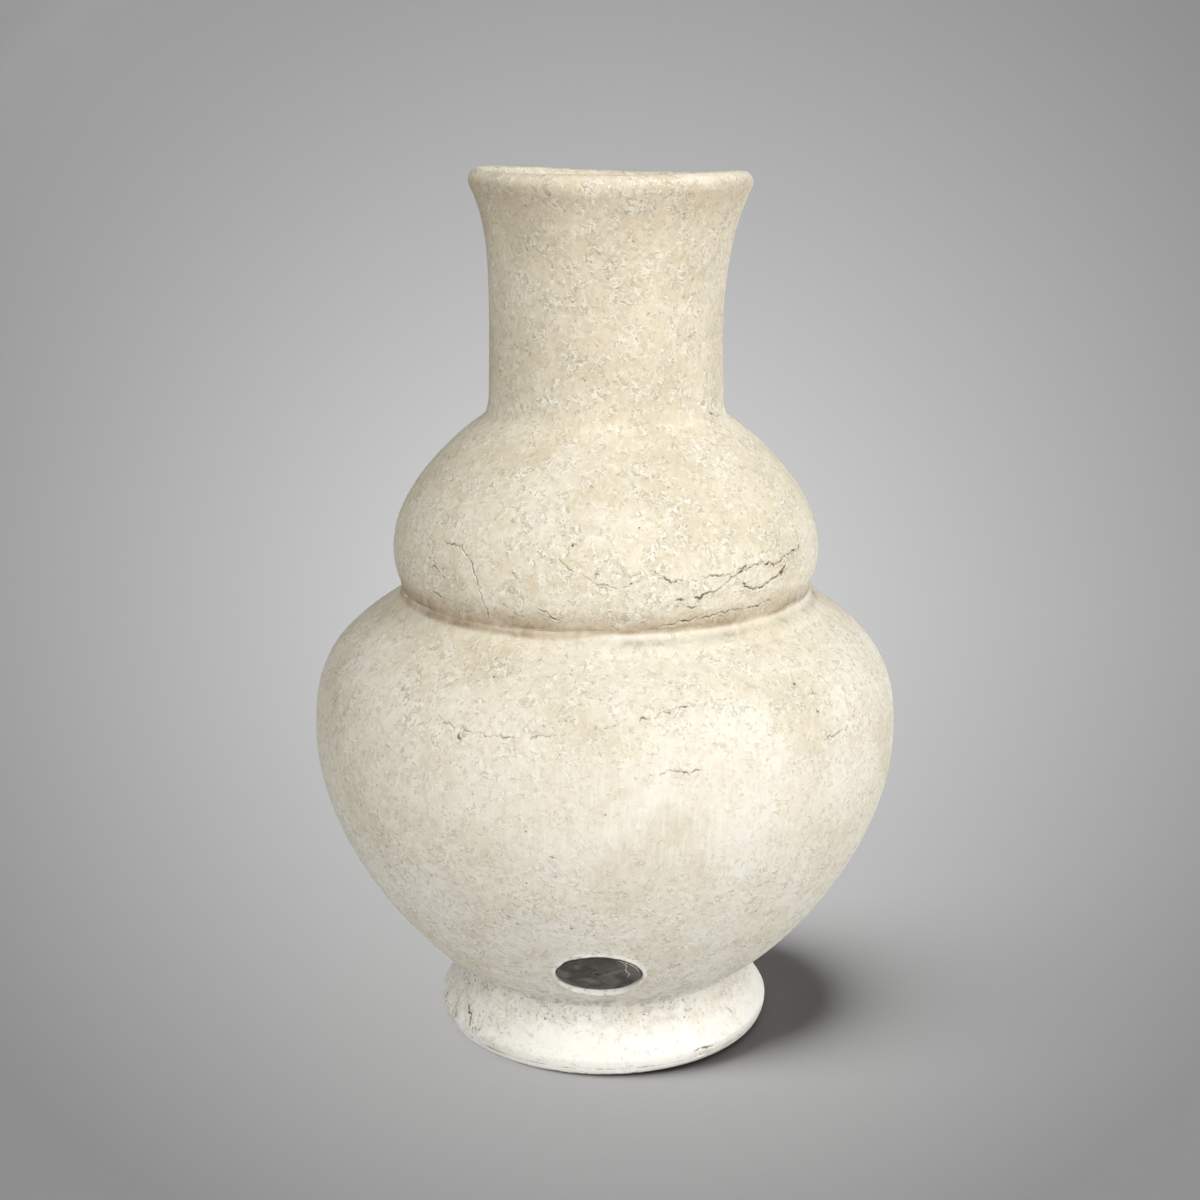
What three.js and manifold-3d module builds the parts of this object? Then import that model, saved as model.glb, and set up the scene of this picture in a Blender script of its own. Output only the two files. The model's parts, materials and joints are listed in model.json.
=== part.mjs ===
// A double-gourd vase in whitewashed stoneware. It is thrown in four sections, which are luted end to
// end while the clay is stiff. A soft coil closes the crease between the two bodies, a round metal badge
// is glued into a pocket low on the belly, and felt pads keep the foot off the table.
// Millimetres, +Z up, with the origin on the table under the middle of the foot. The badge faces -Y.

import * as THREE from 'three';
import { mergeVertices } from 'three/addons/utils/BufferGeometryUtils.js';
import Module from 'manifold-3d';

const wasm = await Module();
wasm.setup();

// Height of each section, from the face or joint that it stands on
const padThickness = 1.2;
const footHeight = 31.2;
const bellyHeight = 185;
const bulbHeight = 83;
const neckHeight = 111.6;

// Outer radii, from the table up
const footSoleRadius = 78.8;
const footRadius = 81.6;
const waistRadius = 72.5;
const flankRadius = 88;
const bellyRadius = 139.7;
const creaseRadius = 95;
const neckBaseRadius = 57.4;
const neckFilletRadius = 54.8;
const neckRadius = 54.2;
const lipRadius = 65;

// How far the bulb stands out past the crease, at its lower edge and at its widest
const bulbEdgeOverhang = 2.9;
const bulbOverhang = 5.8;

// Where those rings lie above the lower joint of their section
const footEdgeHeight = 8;
const flankHeight = 13.3;
const bellyWidestHeight = 119;
const bulbEdgeHeight = 6.8;
const bulbWidestHeight = 21;
const neckFilletHeight = 11;
const neckNarrowHeight = 39;

// Clay
const wall = 9;
const jointWidth = 10;
const footWall = 12;
const floorThickness = 11;
const floorCornerHeight = 8;
const lipThickness = 9;
const lipCrownHeight = 5.5;

// The lip is turned out by hand, so it waves up and down, leans and sits a little to one side
const lipWave = 1.1;
const lipWavePeak = 162;
const lipLean = 0.6;
const lipShift = 1.8;

// Coil pressed into the crease: how far it reaches down the shoulder and up the bulb
const seamReach = 9.5;
const seamRise = 5.5;
const seamEdge = 0.5;

// Badge, its glue and its pocket
const badgeRadius = 19;
const badgeThickness = 2;
const badgeBevel = 0.5;
const badgeDimpleRadius = 2.6;
const badgeDimpleDepth = 0.7;
const badgeHeight = 62.7;
const badgeTurn = -1.4;
const badgeTilt = 3;
const badgeSink = 1.3;
const badgeClearance = 0.55;
const glueThickness = 0.8;
const glueMargin = 1.5;
const seatGap = 0.3;

// Felt pads
const padRadius = 5;
const padCount = 4;
const firstPadAngle = 45;

// Facets round the vase, round the badge and round a pad
const roundSteps = 60;
const badgeSteps = 36;
const padSteps = 18;

// Heights of the joints above the table
const soleHeight = padThickness;
const waistHeight = soleHeight + footHeight;
const creaseHeight = waistHeight + bellyHeight;
const neckBaseHeight = creaseHeight + bulbHeight;
const topHeight = neckBaseHeight + neckHeight;

const radians = THREE.MathUtils.degToRad;

function point(radius, height) {
  return new THREE.Vector2(radius, height);
}

// A curved stretch of wall between two rings. Its two handles are shares of the stretch, across and up.
function stretch(from, to, leaving, arriving, steps) {
  const handle = ([across, up]) => point(
    THREE.MathUtils.lerp(from.x, to.x, across),
    THREE.MathUtils.lerp(from.y, to.y, up),
  );
  return new THREE.CubicBezierCurve(from, handle(leaving), handle(arriving), to).getPoints(steps);
}

// Stretches end to end, with each shared ring kept once
function chain(...stretches) {
  return stretches.flatMap((points, i) => (i === 0 ? points : points.slice(1)));
}

// An outline moved into the clay by a depth, or out of it by a negative one
function inset(points, depth) {
  return points.map((here, i) => {
    const before = points[Math.max(i - 1, 0)];
    const after = points[Math.min(i + 1, points.length - 1)];
    const along = after.clone().sub(before).normalize();
    return point(here.x - along.y * depth, here.y + along.x * depth);
  });
}

// Where an outline reaches a radius (x) or a height (y), with its direction there
function placeOn(points, axis, value) {
  const isBetween = (here, i) => i > 0 && (here[axis] - value) * (points[i - 1][axis] - value) <= 0;
  const next = points.findIndex(isBetween);
  const from = points[next - 1];
  const to = points[next];
  const share = (value - from[axis]) / (to[axis] - from[axis]);
  return { at: from.clone().lerp(to, share), along: to.clone().sub(from).normalize() };
}

// An inner wall that follows an outline at the wall's thickness and ends on the faces of its two joints
function innerWall(outline, lowerEnd, upperEnd) {
  return [lowerEnd, ...inset(outline, wall).slice(1, -1), upperEnd];
}

// A solid turned about the vertical axis, from an outline that goes up outside and comes down inside
function turned(outline, steps) {
  return new THREE.LatheGeometry(outline, steps).rotateX(Math.PI / 2);
}

function ring(outer, inner) {
  return turned([...outer, ...inner.toReversed(), outer[0]], roundSteps);
}

function solid(geometry) {
  const bare = geometry.clone();
  bare.deleteAttribute('normal');
  bare.deleteAttribute('uv');
  const merged = mergeVertices(bare);
  return new wasm.Manifold(new wasm.Mesh({
    numProp: 3,
    vertProperties: merged.attributes.position.array,
    triVerts: merged.index.array,
  }));
}

function cut(geometry, tool) {
  const result = solid(geometry).subtract(solid(tool)).getMesh();
  const geometryLeft = new THREE.BufferGeometry();
  geometryLeft.setAttribute('position', new THREE.BufferAttribute(result.vertProperties, 3));
  geometryLeft.setIndex(new THREE.BufferAttribute(result.triVerts, 1));
  geometryLeft.computeVertexNormals();
  return geometryLeft;
}

function piece(name, geometry, material) {
  const mesh = new THREE.Mesh(geometry, material);
  mesh.name = name;
  return mesh;
}

// Outlines of the four sections, from the table up
const waist = point(waistRadius, waistHeight);
const crease = point(creaseRadius, creaseHeight);
const neckBase = point(neckBaseRadius, neckBaseHeight);

const footEdge = point(footRadius, soleHeight + footEdgeHeight);
const footOutline = chain(
  stretch(point(footSoleRadius, soleHeight), footEdge, [0.75, 0.2], [1, 0.55], 2),
  stretch(footEdge, waist, [0.3, 0.2], [1, 0.5], 5),
);

const flank = point(flankRadius, waistHeight + flankHeight);
const bellyWidest = point(bellyRadius, waistHeight + bellyWidestHeight);
const flankOutline = chain(
  stretch(waist, flank, [0, 0.36], [0.48, 0.44], 3),
  stretch(flank, bellyWidest, [0.32, 0.15], [1, 0.55], 7),
);
const shoulderOutline = stretch(bellyWidest, crease, [0, 0.51], [0.23, 0.69], 7);

const bulbEdge = point(creaseRadius + bulbEdgeOverhang, creaseHeight + bulbEdgeHeight);
const bulbWidest = point(creaseRadius + bulbOverhang, creaseHeight + bulbWidestHeight);
const bulbUnderside = stretch(crease, bulbEdge, [0.55, 0.2], [0.93, 0.6], 2);
const bulbOutline = chain(
  bulbUnderside,
  stretch(bulbEdge, bulbWidest, [0.3, 0.2], [1, 0.5], 2),
  stretch(bulbWidest, neckBase, [0, 0.27], [0.28, 0.65], 7),
);

// The lip is half an ellipse that the flare runs into without a corner
const lipCentre = point(lipRadius - lipThickness / 2, topHeight - lipCrownHeight);
const flareMeetsLip = radians(-32);
const flareMeetsMouth = radians(190);
const lipOutline = new THREE.EllipseCurve(
  lipCentre.x,
  lipCentre.y,
  lipThickness / 2,
  lipCrownHeight,
  flareMeetsLip,
  flareMeetsMouth,
).getPoints(6);
const neckFillet = point(neckFilletRadius, neckBaseHeight + neckFilletHeight);
const neckNarrow = point(neckRadius, neckBaseHeight + neckNarrowHeight);
const neckOutline = chain(
  stretch(neckBase, neckFillet, [0.6, 0.14], [1, 0.5], 3),
  stretch(neckFillet, neckNarrow, [0.5, 0.33], [1, 0.66], 2),
  stretch(neckNarrow, lipOutline[0], [0, 0.43], [0.15, 0.72], 5),
);

// Foot: an open ring, flat below and flat where the belly stands on it
const footBore = [
  point(footSoleRadius - footWall, soleHeight),
  point(waistRadius - footWall, waistHeight),
];
const footGeometry = ring(footOutline, footBore);

// Belly: a thrown bowl with a thick floor, closed in to the crease
const creaseInside = point(creaseRadius - jointWidth, creaseHeight);
const bellyOutline = chain(flankOutline, shoulderOutline);
const floorHeight = waistHeight + floorThickness;
const bellyInside = innerWall(bellyOutline, waist, creaseInside)
  .filter(({ y }) => y > floorHeight + floorCornerHeight);
const [cornerTop, cornerNext] = bellyInside;
const cornerSlope = (cornerNext.x - cornerTop.x) / (cornerNext.y - cornerTop.y);
const cornerFoot = point(cornerTop.x - cornerSlope * (cornerTop.y - floorHeight), floorHeight);
const floorCorner = new THREE.QuadraticBezierCurve(
  point(cornerFoot.x - floorCornerHeight, floorHeight),
  cornerFoot,
  cornerTop,
).getPoints(3);
const bellyGeometry = turned([
  point(0, waistHeight),
  ...bellyOutline,
  ...bellyInside.slice(1).toReversed(),
  ...floorCorner.toReversed(),
  point(0, floorHeight),
], roundSteps);

// Bulb and neck: open rings between flat joints
const neckBaseInside = point(neckBaseRadius - jointWidth, neckBaseHeight);
const bulbGeometry = ring(bulbOutline, innerWall(bulbOutline, creaseInside, neckBaseInside));
const neckGeometry = ring(
  [...neckOutline, ...lipOutline.slice(1)],
  innerWall(neckOutline, neckBaseInside, lipOutline.at(-1)).slice(0, -1),
);

// Hand-turned lip: nothing moves at the narrowest ring, and the whole wave is reached at the lip
const neckVertices = neckGeometry.attributes.position;
for (let i = 0; i < neckVertices.count; i += 1) {
  const x = neckVertices.getX(i);
  const y = neckVertices.getY(i);
  const z = neckVertices.getZ(i);
  const share = THREE.MathUtils.smoothstep(z, neckNarrow.y, lipCentre.y);
  const angle = Math.atan2(y, x);
  const rise = lipWave * Math.cos(2 * (angle - radians(lipWavePeak))) - lipLean * Math.cos(angle);
  neckVertices.setX(i, x + share * lipShift);
  neckVertices.setZ(i, z + share * rise);
}
neckGeometry.computeVertexNormals();

// Seam: a coil of soft clay that fills the crease, a seat's gap clear of the shoulder and of the bulb
const seamFoot = placeOn(shoulderOutline, 'x', creaseRadius + seamReach).at;
const seamHead = placeOn(bulbOutline, 'y', creaseHeight + seamRise).at;
const shoulderUnder = [seamFoot, ...shoulderOutline.filter(({ x }) => x < seamFoot.x)];
const bulbBehind = [...bulbOutline.filter(({ y }) => y < seamHead.y), seamHead];
const seamUnderside = inset(shoulderUnder, -seatGap).slice(0, -1);
const seamBack = inset(bulbBehind, -seatGap).slice(1);
const seamRoot = point(creaseRadius + 2 * seatGap, creaseHeight);
const seamLow = seamUnderside[0].clone().add(point(0, seamEdge));
const seamHigh = seamBack.at(-1).clone().add(point(seamEdge, 0));
const seamHollow = point(
  THREE.MathUtils.lerp(seamRoot.x, seamHigh.x, 0.9),
  THREE.MathUtils.lerp(seamRoot.y, seamLow.y, 0.3),
);
const seamFace = new THREE.QuadraticBezierCurve(seamLow, seamHollow, seamHigh).getPoints(4);
const seamGeometry = turned(
  [seamRoot, ...seamUnderside.toReversed(), ...seamFace, ...seamBack.toReversed(), seamRoot],
  roundSteps,
);

// The badge's seat: a frame on the flank with its Z out of the clay, tipped so that the lower edge lies
// deeper
const badgePlace = placeOn(flankOutline, 'y', badgeHeight);
const flankLean = Math.atan2(badgePlace.along.x, badgePlace.along.y);

const badgeSeat = new THREE.Group();
badgeSeat.position.set(0, -badgePlace.at.x, badgeHeight);
badgeSeat.rotation.x = Math.PI / 2 + flankLean + radians(badgeTilt);
const badgeSide = new THREE.Group();
badgeSide.rotation.z = radians(badgeTurn);
badgeSide.add(badgeSeat);
badgeSide.updateMatrixWorld(true);

// Heights in the seat's frame, where 0 is the flank and the stack goes down into the clay
const badgeBack = -badgeSink - badgeThickness;
const glueBack = badgeBack - seatGap - glueThickness;
const pocketFloor = glueBack - seatGap;
const pocketMouth = badgeRadius;
const pocketRadius = badgeRadius + badgeClearance;
const glueRadius = badgeRadius - glueMargin;

const pocket = turned([
  point(0, pocketFloor),
  point(pocketRadius, pocketFloor),
  point(pocketRadius, pocketMouth),
  point(0, pocketMouth),
], badgeSteps).applyMatrix4(badgeSeat.matrixWorld);

const badgeOutline = [
  point(0, 0),
  point(badgeRadius - badgeBevel, 0),
  point(badgeRadius, badgeBevel),
  point(badgeRadius, badgeThickness - badgeBevel),
  point(badgeRadius - badgeBevel, badgeThickness),
  point(badgeDimpleRadius, badgeThickness),
  point(badgeDimpleRadius * 0.7, badgeThickness - badgeDimpleDepth * 0.75),
  point(0, badgeThickness - badgeDimpleDepth),
];
const glueOutline = [
  point(0, 0),
  point(glueRadius, 0),
  point(glueRadius, glueThickness),
  point(0, glueThickness),
];

const clay = { roughness: 0.9, metalness: 0 };
const badgeMetal = new THREE.MeshStandardMaterial({ color: 0x504e47, roughness: 0.45, metalness: 0.9 });
const glue = new THREE.MeshStandardMaterial({ color: 0xcdbf9c, roughness: 0.6 });
const felt = new THREE.MeshStandardMaterial({ color: 0x4a4641, roughness: 1 });

const vase = new THREE.Group();
vase.add(
  piece('foot_ring', footGeometry, new THREE.MeshStandardMaterial({ color: 0xf4f2e6, ...clay })),
  piece(
    'lower_body',
    cut(bellyGeometry, pocket),
    new THREE.MeshStandardMaterial({ color: 0xf0e8d4, ...clay }),
  ),
  piece('upper_body', bulbGeometry, new THREE.MeshStandardMaterial({ color: 0xece4d1, ...clay })),
  piece('neck', neckGeometry, new THREE.MeshStandardMaterial({ color: 0xe3d9c1, ...clay })),
  piece('crease_seam', seamGeometry, new THREE.MeshStandardMaterial({ color: 0xe9e1cc, ...clay })),
);

const badge = piece('badge_disc', turned(badgeOutline, badgeSteps), badgeMetal);
badge.position.z = badgeBack;
const badgeGlue = piece('badge_glue', turned(glueOutline, badgeSteps), glue);
badgeGlue.position.z = glueBack;
badgeSeat.add(badge, badgeGlue);
vase.add(badgeSide);

// Pads stand under the middle of the foot's wall, evenly spaced
const padRingRadius = footSoleRadius - footWall / 2;
for (let i = 0; i < padCount; i += 1) {
  const angle = radians(firstPadAngle + i * 360 / padCount);
  const padShape = new THREE.CylinderGeometry(padRadius, padRadius, padThickness, padSteps);
  const pad = piece(`felt_pad_${i + 1}`, padShape.rotateX(Math.PI / 2), felt);
  pad.position.set(padRingRadius * Math.cos(angle), padRingRadius * Math.sin(angle), padThickness / 2);
  vase.add(pad);
}

export default vase;
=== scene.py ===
import json
import math

import bmesh
import bpy
import numpy as np
from mathutils import Matrix, Vector, kdtree, noise

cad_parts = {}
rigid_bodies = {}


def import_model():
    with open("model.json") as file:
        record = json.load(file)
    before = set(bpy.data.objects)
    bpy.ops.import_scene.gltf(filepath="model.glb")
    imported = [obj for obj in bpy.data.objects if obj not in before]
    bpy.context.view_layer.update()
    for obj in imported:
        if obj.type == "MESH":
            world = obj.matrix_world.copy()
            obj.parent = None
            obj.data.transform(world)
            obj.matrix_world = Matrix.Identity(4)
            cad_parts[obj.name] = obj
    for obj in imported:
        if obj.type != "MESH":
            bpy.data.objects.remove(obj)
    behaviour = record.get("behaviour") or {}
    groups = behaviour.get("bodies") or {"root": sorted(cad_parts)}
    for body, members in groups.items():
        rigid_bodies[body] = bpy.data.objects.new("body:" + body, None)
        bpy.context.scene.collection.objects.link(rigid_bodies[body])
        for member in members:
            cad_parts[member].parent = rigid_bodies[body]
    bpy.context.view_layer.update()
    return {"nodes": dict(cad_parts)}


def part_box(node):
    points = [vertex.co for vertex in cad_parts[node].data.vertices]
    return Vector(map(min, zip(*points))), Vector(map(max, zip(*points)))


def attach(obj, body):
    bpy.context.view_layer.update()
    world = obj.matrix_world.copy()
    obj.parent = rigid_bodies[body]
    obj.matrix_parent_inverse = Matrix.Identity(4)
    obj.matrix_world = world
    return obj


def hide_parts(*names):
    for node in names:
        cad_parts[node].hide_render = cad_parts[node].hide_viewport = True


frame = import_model()
mm = 0.001


# Foot: a ring of stoneware that flares out to the table, thrown by itself and luted under the belly.
# Its sole and its bore are bare clay. Its whitewash is the thickest and the cleanest of the vase, and its
# whiter colour is partly painted light for the strong light on the foot.
columns = 540
joint_width = 10 * mm
foot_wall = 12 * mm
foot_edge_height = 8 * mm
foot_row = 0.9 * mm
foot_bore_row = 3 * mm
foot_sole_row = 2 * mm
foot_crack_reach = 1.8 * mm
bare_edge = 3 * mm
band_height = 3.6 * mm
band_width = 0.7 * mm
band_cut = 0.22 * mm
# The wash's age by height. Age 0 on the foot, the freshest and whitest, is partly painted light
wash_heights = np.array([0, 14, 50, 110, 190, 214, 232, 285, 315, 385, 400, 414]) * mm
wash_ages = [0.0, 0.03, 0.5, 0.64, 0.72, 0.84, 0.88, 0.88, 0.92, 1.0, 1.12, 0.8]


def end_radius(node, at_top):
    """The outer radius of the flat face that a CAD piece ends on, below or at its top"""
    low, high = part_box(node)
    level = high.z if at_top else low.z
    corners = [v.co for v in frame["nodes"][node].data.vertices]
    return max(math.hypot(co.x, co.y) for co in corners if abs(co.z - level) < 0.05 * mm)


def stretch(start, end, leaving, arriving, steps=80):
    """A curved stretch of wall between two rings, each (radius, height). Its two handles are shares of
    the stretch, across and up"""
    start = np.array(start)
    end = np.array(end)
    first = start + (end - start) * leaving
    second = start + (end - start) * arriving
    t = np.linspace(0, 1, steps + 1)[:, None]
    return (1 - t)**3 * start + 3 * (1 - t)**2 * t * first + 3 * (1 - t) * t**2 * second + t**3 * end


def chain(*stretches):
    """Stretches end to end, with each shared ring kept once"""
    return np.vstack([stretches[0], *(points[1:] for points in stretches[1:])])


def evenly(points, spacing):
    """The same outline with its rings about one spacing apart"""
    along = np.concatenate([[0], np.cumsum(np.linalg.norm(np.diff(points, axis=0), axis=1))])
    places = np.linspace(0, along[-1], max(2, round(along[-1] / spacing) + 1))
    return np.stack([np.interp(places, along, points[:, 0]), np.interp(places, along, points[:, 1])], 1)


def facing(points, first=None, last=None):
    """The direction out of the clay at each ring of an outline that goes up outside or down inside.
    The wall's direction at a joint can be given, so that both neighbours agree on it"""
    along = np.gradient(points, axis=0)
    if first is not None:
        along[0] = first
    if last is not None:
        along[-1] = last
    along /= np.linalg.norm(along, axis=1)[:, None]
    return np.stack([along[:, 1], -along[:, 0]], 1)


def inset(points, depth):
    """The outline moved into the clay by a depth"""
    return points - facing(points) * depth


def rings(points, wash, give, first=None, last=None):
    """One row per ring: radius, height, facing across and up, share of whitewash, share of relief"""
    wash = np.broadcast_to(wash, len(points))
    give = np.broadcast_to(give, len(points))
    return np.column_stack([points, facing(points, first, last), wash, give])


def ring_faces(rows, sides, closed):
    """The faces between rings of vertices, row after row, and from the last row back to the first if the
    outline closes on itself"""
    here = np.arange(rows if closed else rows - 1)[:, None] * sides
    above = (here + sides) % (rows * sides)
    side = np.arange(sides)
    beside = (side + 1) % sides
    corners = [here + side, here + beside, above + beside, above + side]
    return np.stack(corners, 2).reshape(-1, 4).tolist()


def throw(name, wall, columns=columns):
    """A mesh turned about the vertical axis from rings that close on themselves or on the axis"""
    turn = np.linspace(0, 2 * math.pi, columns, endpoint=False)
    cosine = np.cos(turn)
    sine = np.sin(turn)
    radius, height, across, up, wash, give = wall.T[:, :, None]
    flat = np.ones(columns)
    places = np.stack([radius * cosine, radius * sine, height * flat], 2)
    outward = np.stack([across * cosine, across * sine, up * flat], 2)
    closed = wall[0, 0] > 0
    mesh = bpy.data.meshes.new(name)
    mesh.from_pydata(places.reshape(-1, 3), [], ring_faces(len(wall), columns, closed))
    give_values(mesh, "outward", outward.reshape(-1, 3))
    give_values(mesh, "wash", np.repeat(wash, columns))
    give_values(mesh, "give", np.repeat(give, columns))
    if not closed:
        work = bmesh.new()
        work.from_mesh(mesh)
        poles = [v for v in work.verts if math.hypot(v.co.x, v.co.y) < 0.01 * mm]
        bmesh.ops.remove_doubles(work, verts=poles, dist=0.05 * mm)
        work.to_mesh(mesh)
        work.free()
    return mesh


def give_values(mesh, name, values):
    """Keeps one number or direction per vertex under a name that the materials can read"""
    values = np.asarray(values, np.float32)
    kind, field = ("FLOAT_VECTOR", "vector") if values.ndim == 2 else ("FLOAT", "value")
    store = mesh.attributes.get(name) or mesh.attributes.new(name, kind, "POINT")
    store.data.foreach_set(field, values.ravel())


def read_values(mesh, name):
    store = mesh.attributes[name]
    wide = store.data_type == "FLOAT_VECTOR"
    values = np.zeros(len(mesh.vertices) * (3 if wide else 1), np.float32)
    store.data.foreach_get("vector" if wide else "value", values)
    return values.reshape(-1, 3) if wide else values


def read_places(mesh):
    places = np.zeros(len(mesh.vertices) * 3, np.float32)
    mesh.vertices.foreach_get("co", places)
    return places.reshape(-1, 3).astype(float)


def set_places(mesh, places):
    mesh.vertices.foreach_set("co", places.ravel())


def wander(places, size):
    """Smooth noise between about -1 and 1, whose lumps have the given size"""
    return np.array([noise.noise(place) for place in (places / size).tolist()])


def relief(places):
    """How far the potter's hands, the rib and the pulp in the clay move the surface at each place"""
    hands = 0.42 * mm * wander(places, 62 * mm)
    rib = 0.2 * mm * wander(places + 1, 21 * mm)
    lumps = 0.09 * mm * wander(places + 2, 6.5 * mm)
    pulp = 0.05 * mm * wander(places + 3, 3.2 * mm)
    return hands + rib + lumps + pulp


def press(mesh):
    """Moves the smooth thrown wall to its hand-made surface, and keeps where it was"""
    places = read_places(mesh)
    outward = read_values(mesh, "outward")
    moved = places + outward * (relief(places) * read_values(mesh, "give"))[:, None]
    set_places(mesh, moved)
    give_values(mesh, "smooth_place", places)
    give_values(mesh, "age", np.interp(places[:, 2], wash_heights, wash_ages))
    for value in ("stain", "greyed_and_shaded", "pitted", "brushed", "crack_side", "crack_open"):
        give_values(mesh, value, np.zeros(len(places)))
    return places


def joint_normals(places, outward, lean):
    """Normals of the hand-made surface on a ring, the same for both pieces that meet there. lean is the
    wall's direction across and up"""
    step = 0.8 * mm
    turn = np.arctan2(places[:, 1], places[:, 0])
    around = np.stack([-np.sin(turn), np.cos(turn), np.zeros(len(turn))], 1)
    across, up = np.broadcast_to(lean, (len(turn), 2)).T / np.linalg.norm(lean, axis=-1)
    along = np.stack([across * np.cos(turn), across * np.sin(turn), up], 1)

    def slope(direction):
        rise = relief(places + direction * step) - relief(places - direction * step)
        return direction * 2 * step + outward * rise[:, None]

    normals = np.cross(slope(around), slope(along))
    return normals / np.linalg.norm(normals, axis=1)[:, None]


def shade_joints(mesh, joints):
    """Smooth shading that runs on across the joints, each given as (radius, height, lean)"""
    mesh.shade_smooth()
    outward = read_values(mesh, "outward")
    smooth_places = read_values(mesh, "smooth_place").astype(float)
    normals = np.zeros((len(mesh.vertices), 3))
    reach = np.hypot(smooth_places[:, 0], smooth_places[:, 1])
    for radius, height, lean in joints:
        near = (abs(smooth_places[:, 2] - height) < 0.02 * mm) & (abs(reach - radius) < 0.02 * mm)
        normals[near] = joint_normals(smooth_places[near], outward[near], lean)
    mesh.normals_split_custom_set_from_vertices(normals.tolist())


def put_in_place(mesh, material, slot, *nodes):
    """Makes the object, which stands for the CAD nodes and takes its name from its mesh"""
    for helper in ("outward", "give", "smooth_place"):
        if helper in mesh.attributes:
            mesh.attributes.remove(mesh.attributes[helper])
    piece = bpy.data.objects.new(mesh.name, mesh)
    bpy.context.scene.collection.objects.link(piece)
    mesh.materials.clear()
    mesh.materials.append(material)
    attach(piece, "root")
    if nodes:
        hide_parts(*nodes)
    return piece


# Spacing of the points along a crack, and the distance in millimetres that is far from any crack
crack_step = 0.25 * mm
crack_far = 3.0


def crack(way, half_width=0.35, depth=0.7, lift=0.2, broken=0.5):
    """A drying crack. Its way is a few points, each the angle in degrees from the badge, positive to the
    right, and the height in millimetres. Its half width, its depth and the lift of its edges are in
    millimetres too. broken is how much of it closes up, from 0. A depth below 0 is a raised wrinkle"""
    return {"way": way, "half_width": half_width * mm, "depth": depth * mm, "lift": lift * mm,
            "broken": broken, "dark": depth > 0}


def follow(line, outline):
    """Points one step apart along a crack on an outline's wall, and how open it is at each"""
    way = np.array(line["way"], float)
    turn = np.radians(way[:, 0] - 90)
    height = way[:, 1] * mm
    radius = np.interp(height, outline[:, 1], outline[:, 0])
    corners = np.stack([radius * np.cos(turn), radius * np.sin(turn), height], 1)
    along = np.concatenate([[0], np.cumsum(np.linalg.norm(np.diff(corners, axis=0), axis=1))])
    steps = max(2, int(along[-1] / crack_step))
    place = np.linspace(0, along[-1], steps)
    ends = np.minimum(place, along[-1] - place)
    seed = np.full(steps, way[0, 0] * 0.37)
    path = np.stack([place, seed * mm, np.zeros(steps)], 1)
    sway = 1.2 * mm * wander(path, 4.5 * mm) + 1.1 * mm * wander(path + 1, 1.5 * mm)
    shift = 1.2 * mm * wander(path + 2, 2 * mm)
    turn = np.interp(place, along, turn) + shift / np.interp(place, along, radius)
    height = np.interp(place, along, height) + sway * np.clip(ends / (3 * mm), 0, 1)
    radius = np.interp(height, outline[:, 1], outline[:, 0])
    points = np.stack([radius * np.cos(turn), radius * np.sin(turn), height], 1)
    knotted = 1.1 * wander(path + 3, 5 * mm) + 1.1 * wander(path + 4, 1.8 * mm)
    taper = np.clip(0.25 + ends / min(2 * mm, 0.4 * along[-1]), 0, 1)
    opening = np.clip(1 - line["broken"] * (0.6 + knotted), 0, 1) * taper
    return points, opening


def search_tree(points):
    """A tree that finds the nearest of the points to a place"""
    tree = kdtree.KDTree(len(points))
    for index, point in enumerate(points.tolist()):
        tree.insert(point, index)
    tree.balance()
    return tree


def refine(mesh, points, reach, cuts=3):
    """Splits the faces within reach of any of the points"""
    tree = search_tree(points)
    work = bmesh.new()
    work.from_mesh(mesh)
    near = {v for v in work.verts if tree.find(v.co)[2] < reach}
    edges = [e for e in work.edges if e.verts[0] in near or e.verts[1] in near]
    bmesh.ops.subdivide_edges(work, edges=edges, cuts=cuts, use_grid_fill=True)
    work.to_mesh(mesh)
    work.free()


def open_cracks(mesh, lines, outline):
    """Presses the cracks into the mesh. Each vertex near one keeps its distance from it, positive to the
    left of its way, which is above a crack that runs to the right, and how wide the crack is there. Both
    are in millimetres, and the material draws the ragged edges from them"""
    places = read_places(mesh)
    outward = read_values(mesh, "outward").astype(float)
    moved = np.zeros(len(places))
    side_of = np.full(len(places), crack_far)
    opened = np.zeros(len(places))
    for line in lines:
        points, opening = follow(line, outline)
        aim = np.gradient(points, axis=0)
        aim /= np.linalg.norm(aim, axis=1)[:, None]
        tree = search_tree(points)
        width = line["half_width"]
        reach = max(6 * width, 2.6 * mm)
        low = points.min(axis=0) - reach
        high = points.max(axis=0) + reach
        for index in np.nonzero(((places > low) & (places < high)).all(axis=1))[0]:
            step, gap = tree.find(places[index])[1:]
            if gap > reach:
                continue
            offset = places[index] - points[step]
            side = offset @ np.cross(outward[index], aim[step])
            beyond = max(0, abs(offset @ aim[step]) - 0.3 * mm)
            there = opening[step] * max(0, 1 - beyond / (0.7 * mm))
            cut = math.exp(-(gap / width)**2) * opening[step]
            edge = math.exp(-((gap - 2.1 * width) / (1.2 * width))**2) * opening[step]
            moved[index] += line["lift"] * edge * (1 if side < 0 else 0.4) - line["depth"] * cut
            if line["dark"] and abs(side) / mm < abs(side_of[index]):
                side_of[index] = side / mm
                opened[index] = there * width / mm
    give_values(mesh, "crack_side", side_of)
    give_values(mesh, "crack_open", opened)
    set_places(mesh, places + outward * moved[:, None])


def add(tree, kind, plugs=None, **settings):
    """A shader node with its settings, and its inputs linked or set"""
    node = tree.nodes.new("ShaderNode" + kind)
    for setting, value in settings.items():
        setattr(node, setting, value)
    for plug, value in (plugs or {}).items():
        if isinstance(value, bpy.types.NodeSocket):
            tree.links.new(value, node.inputs[plug])
        else:
            node.inputs[plug].default_value = value
    return node


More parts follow.
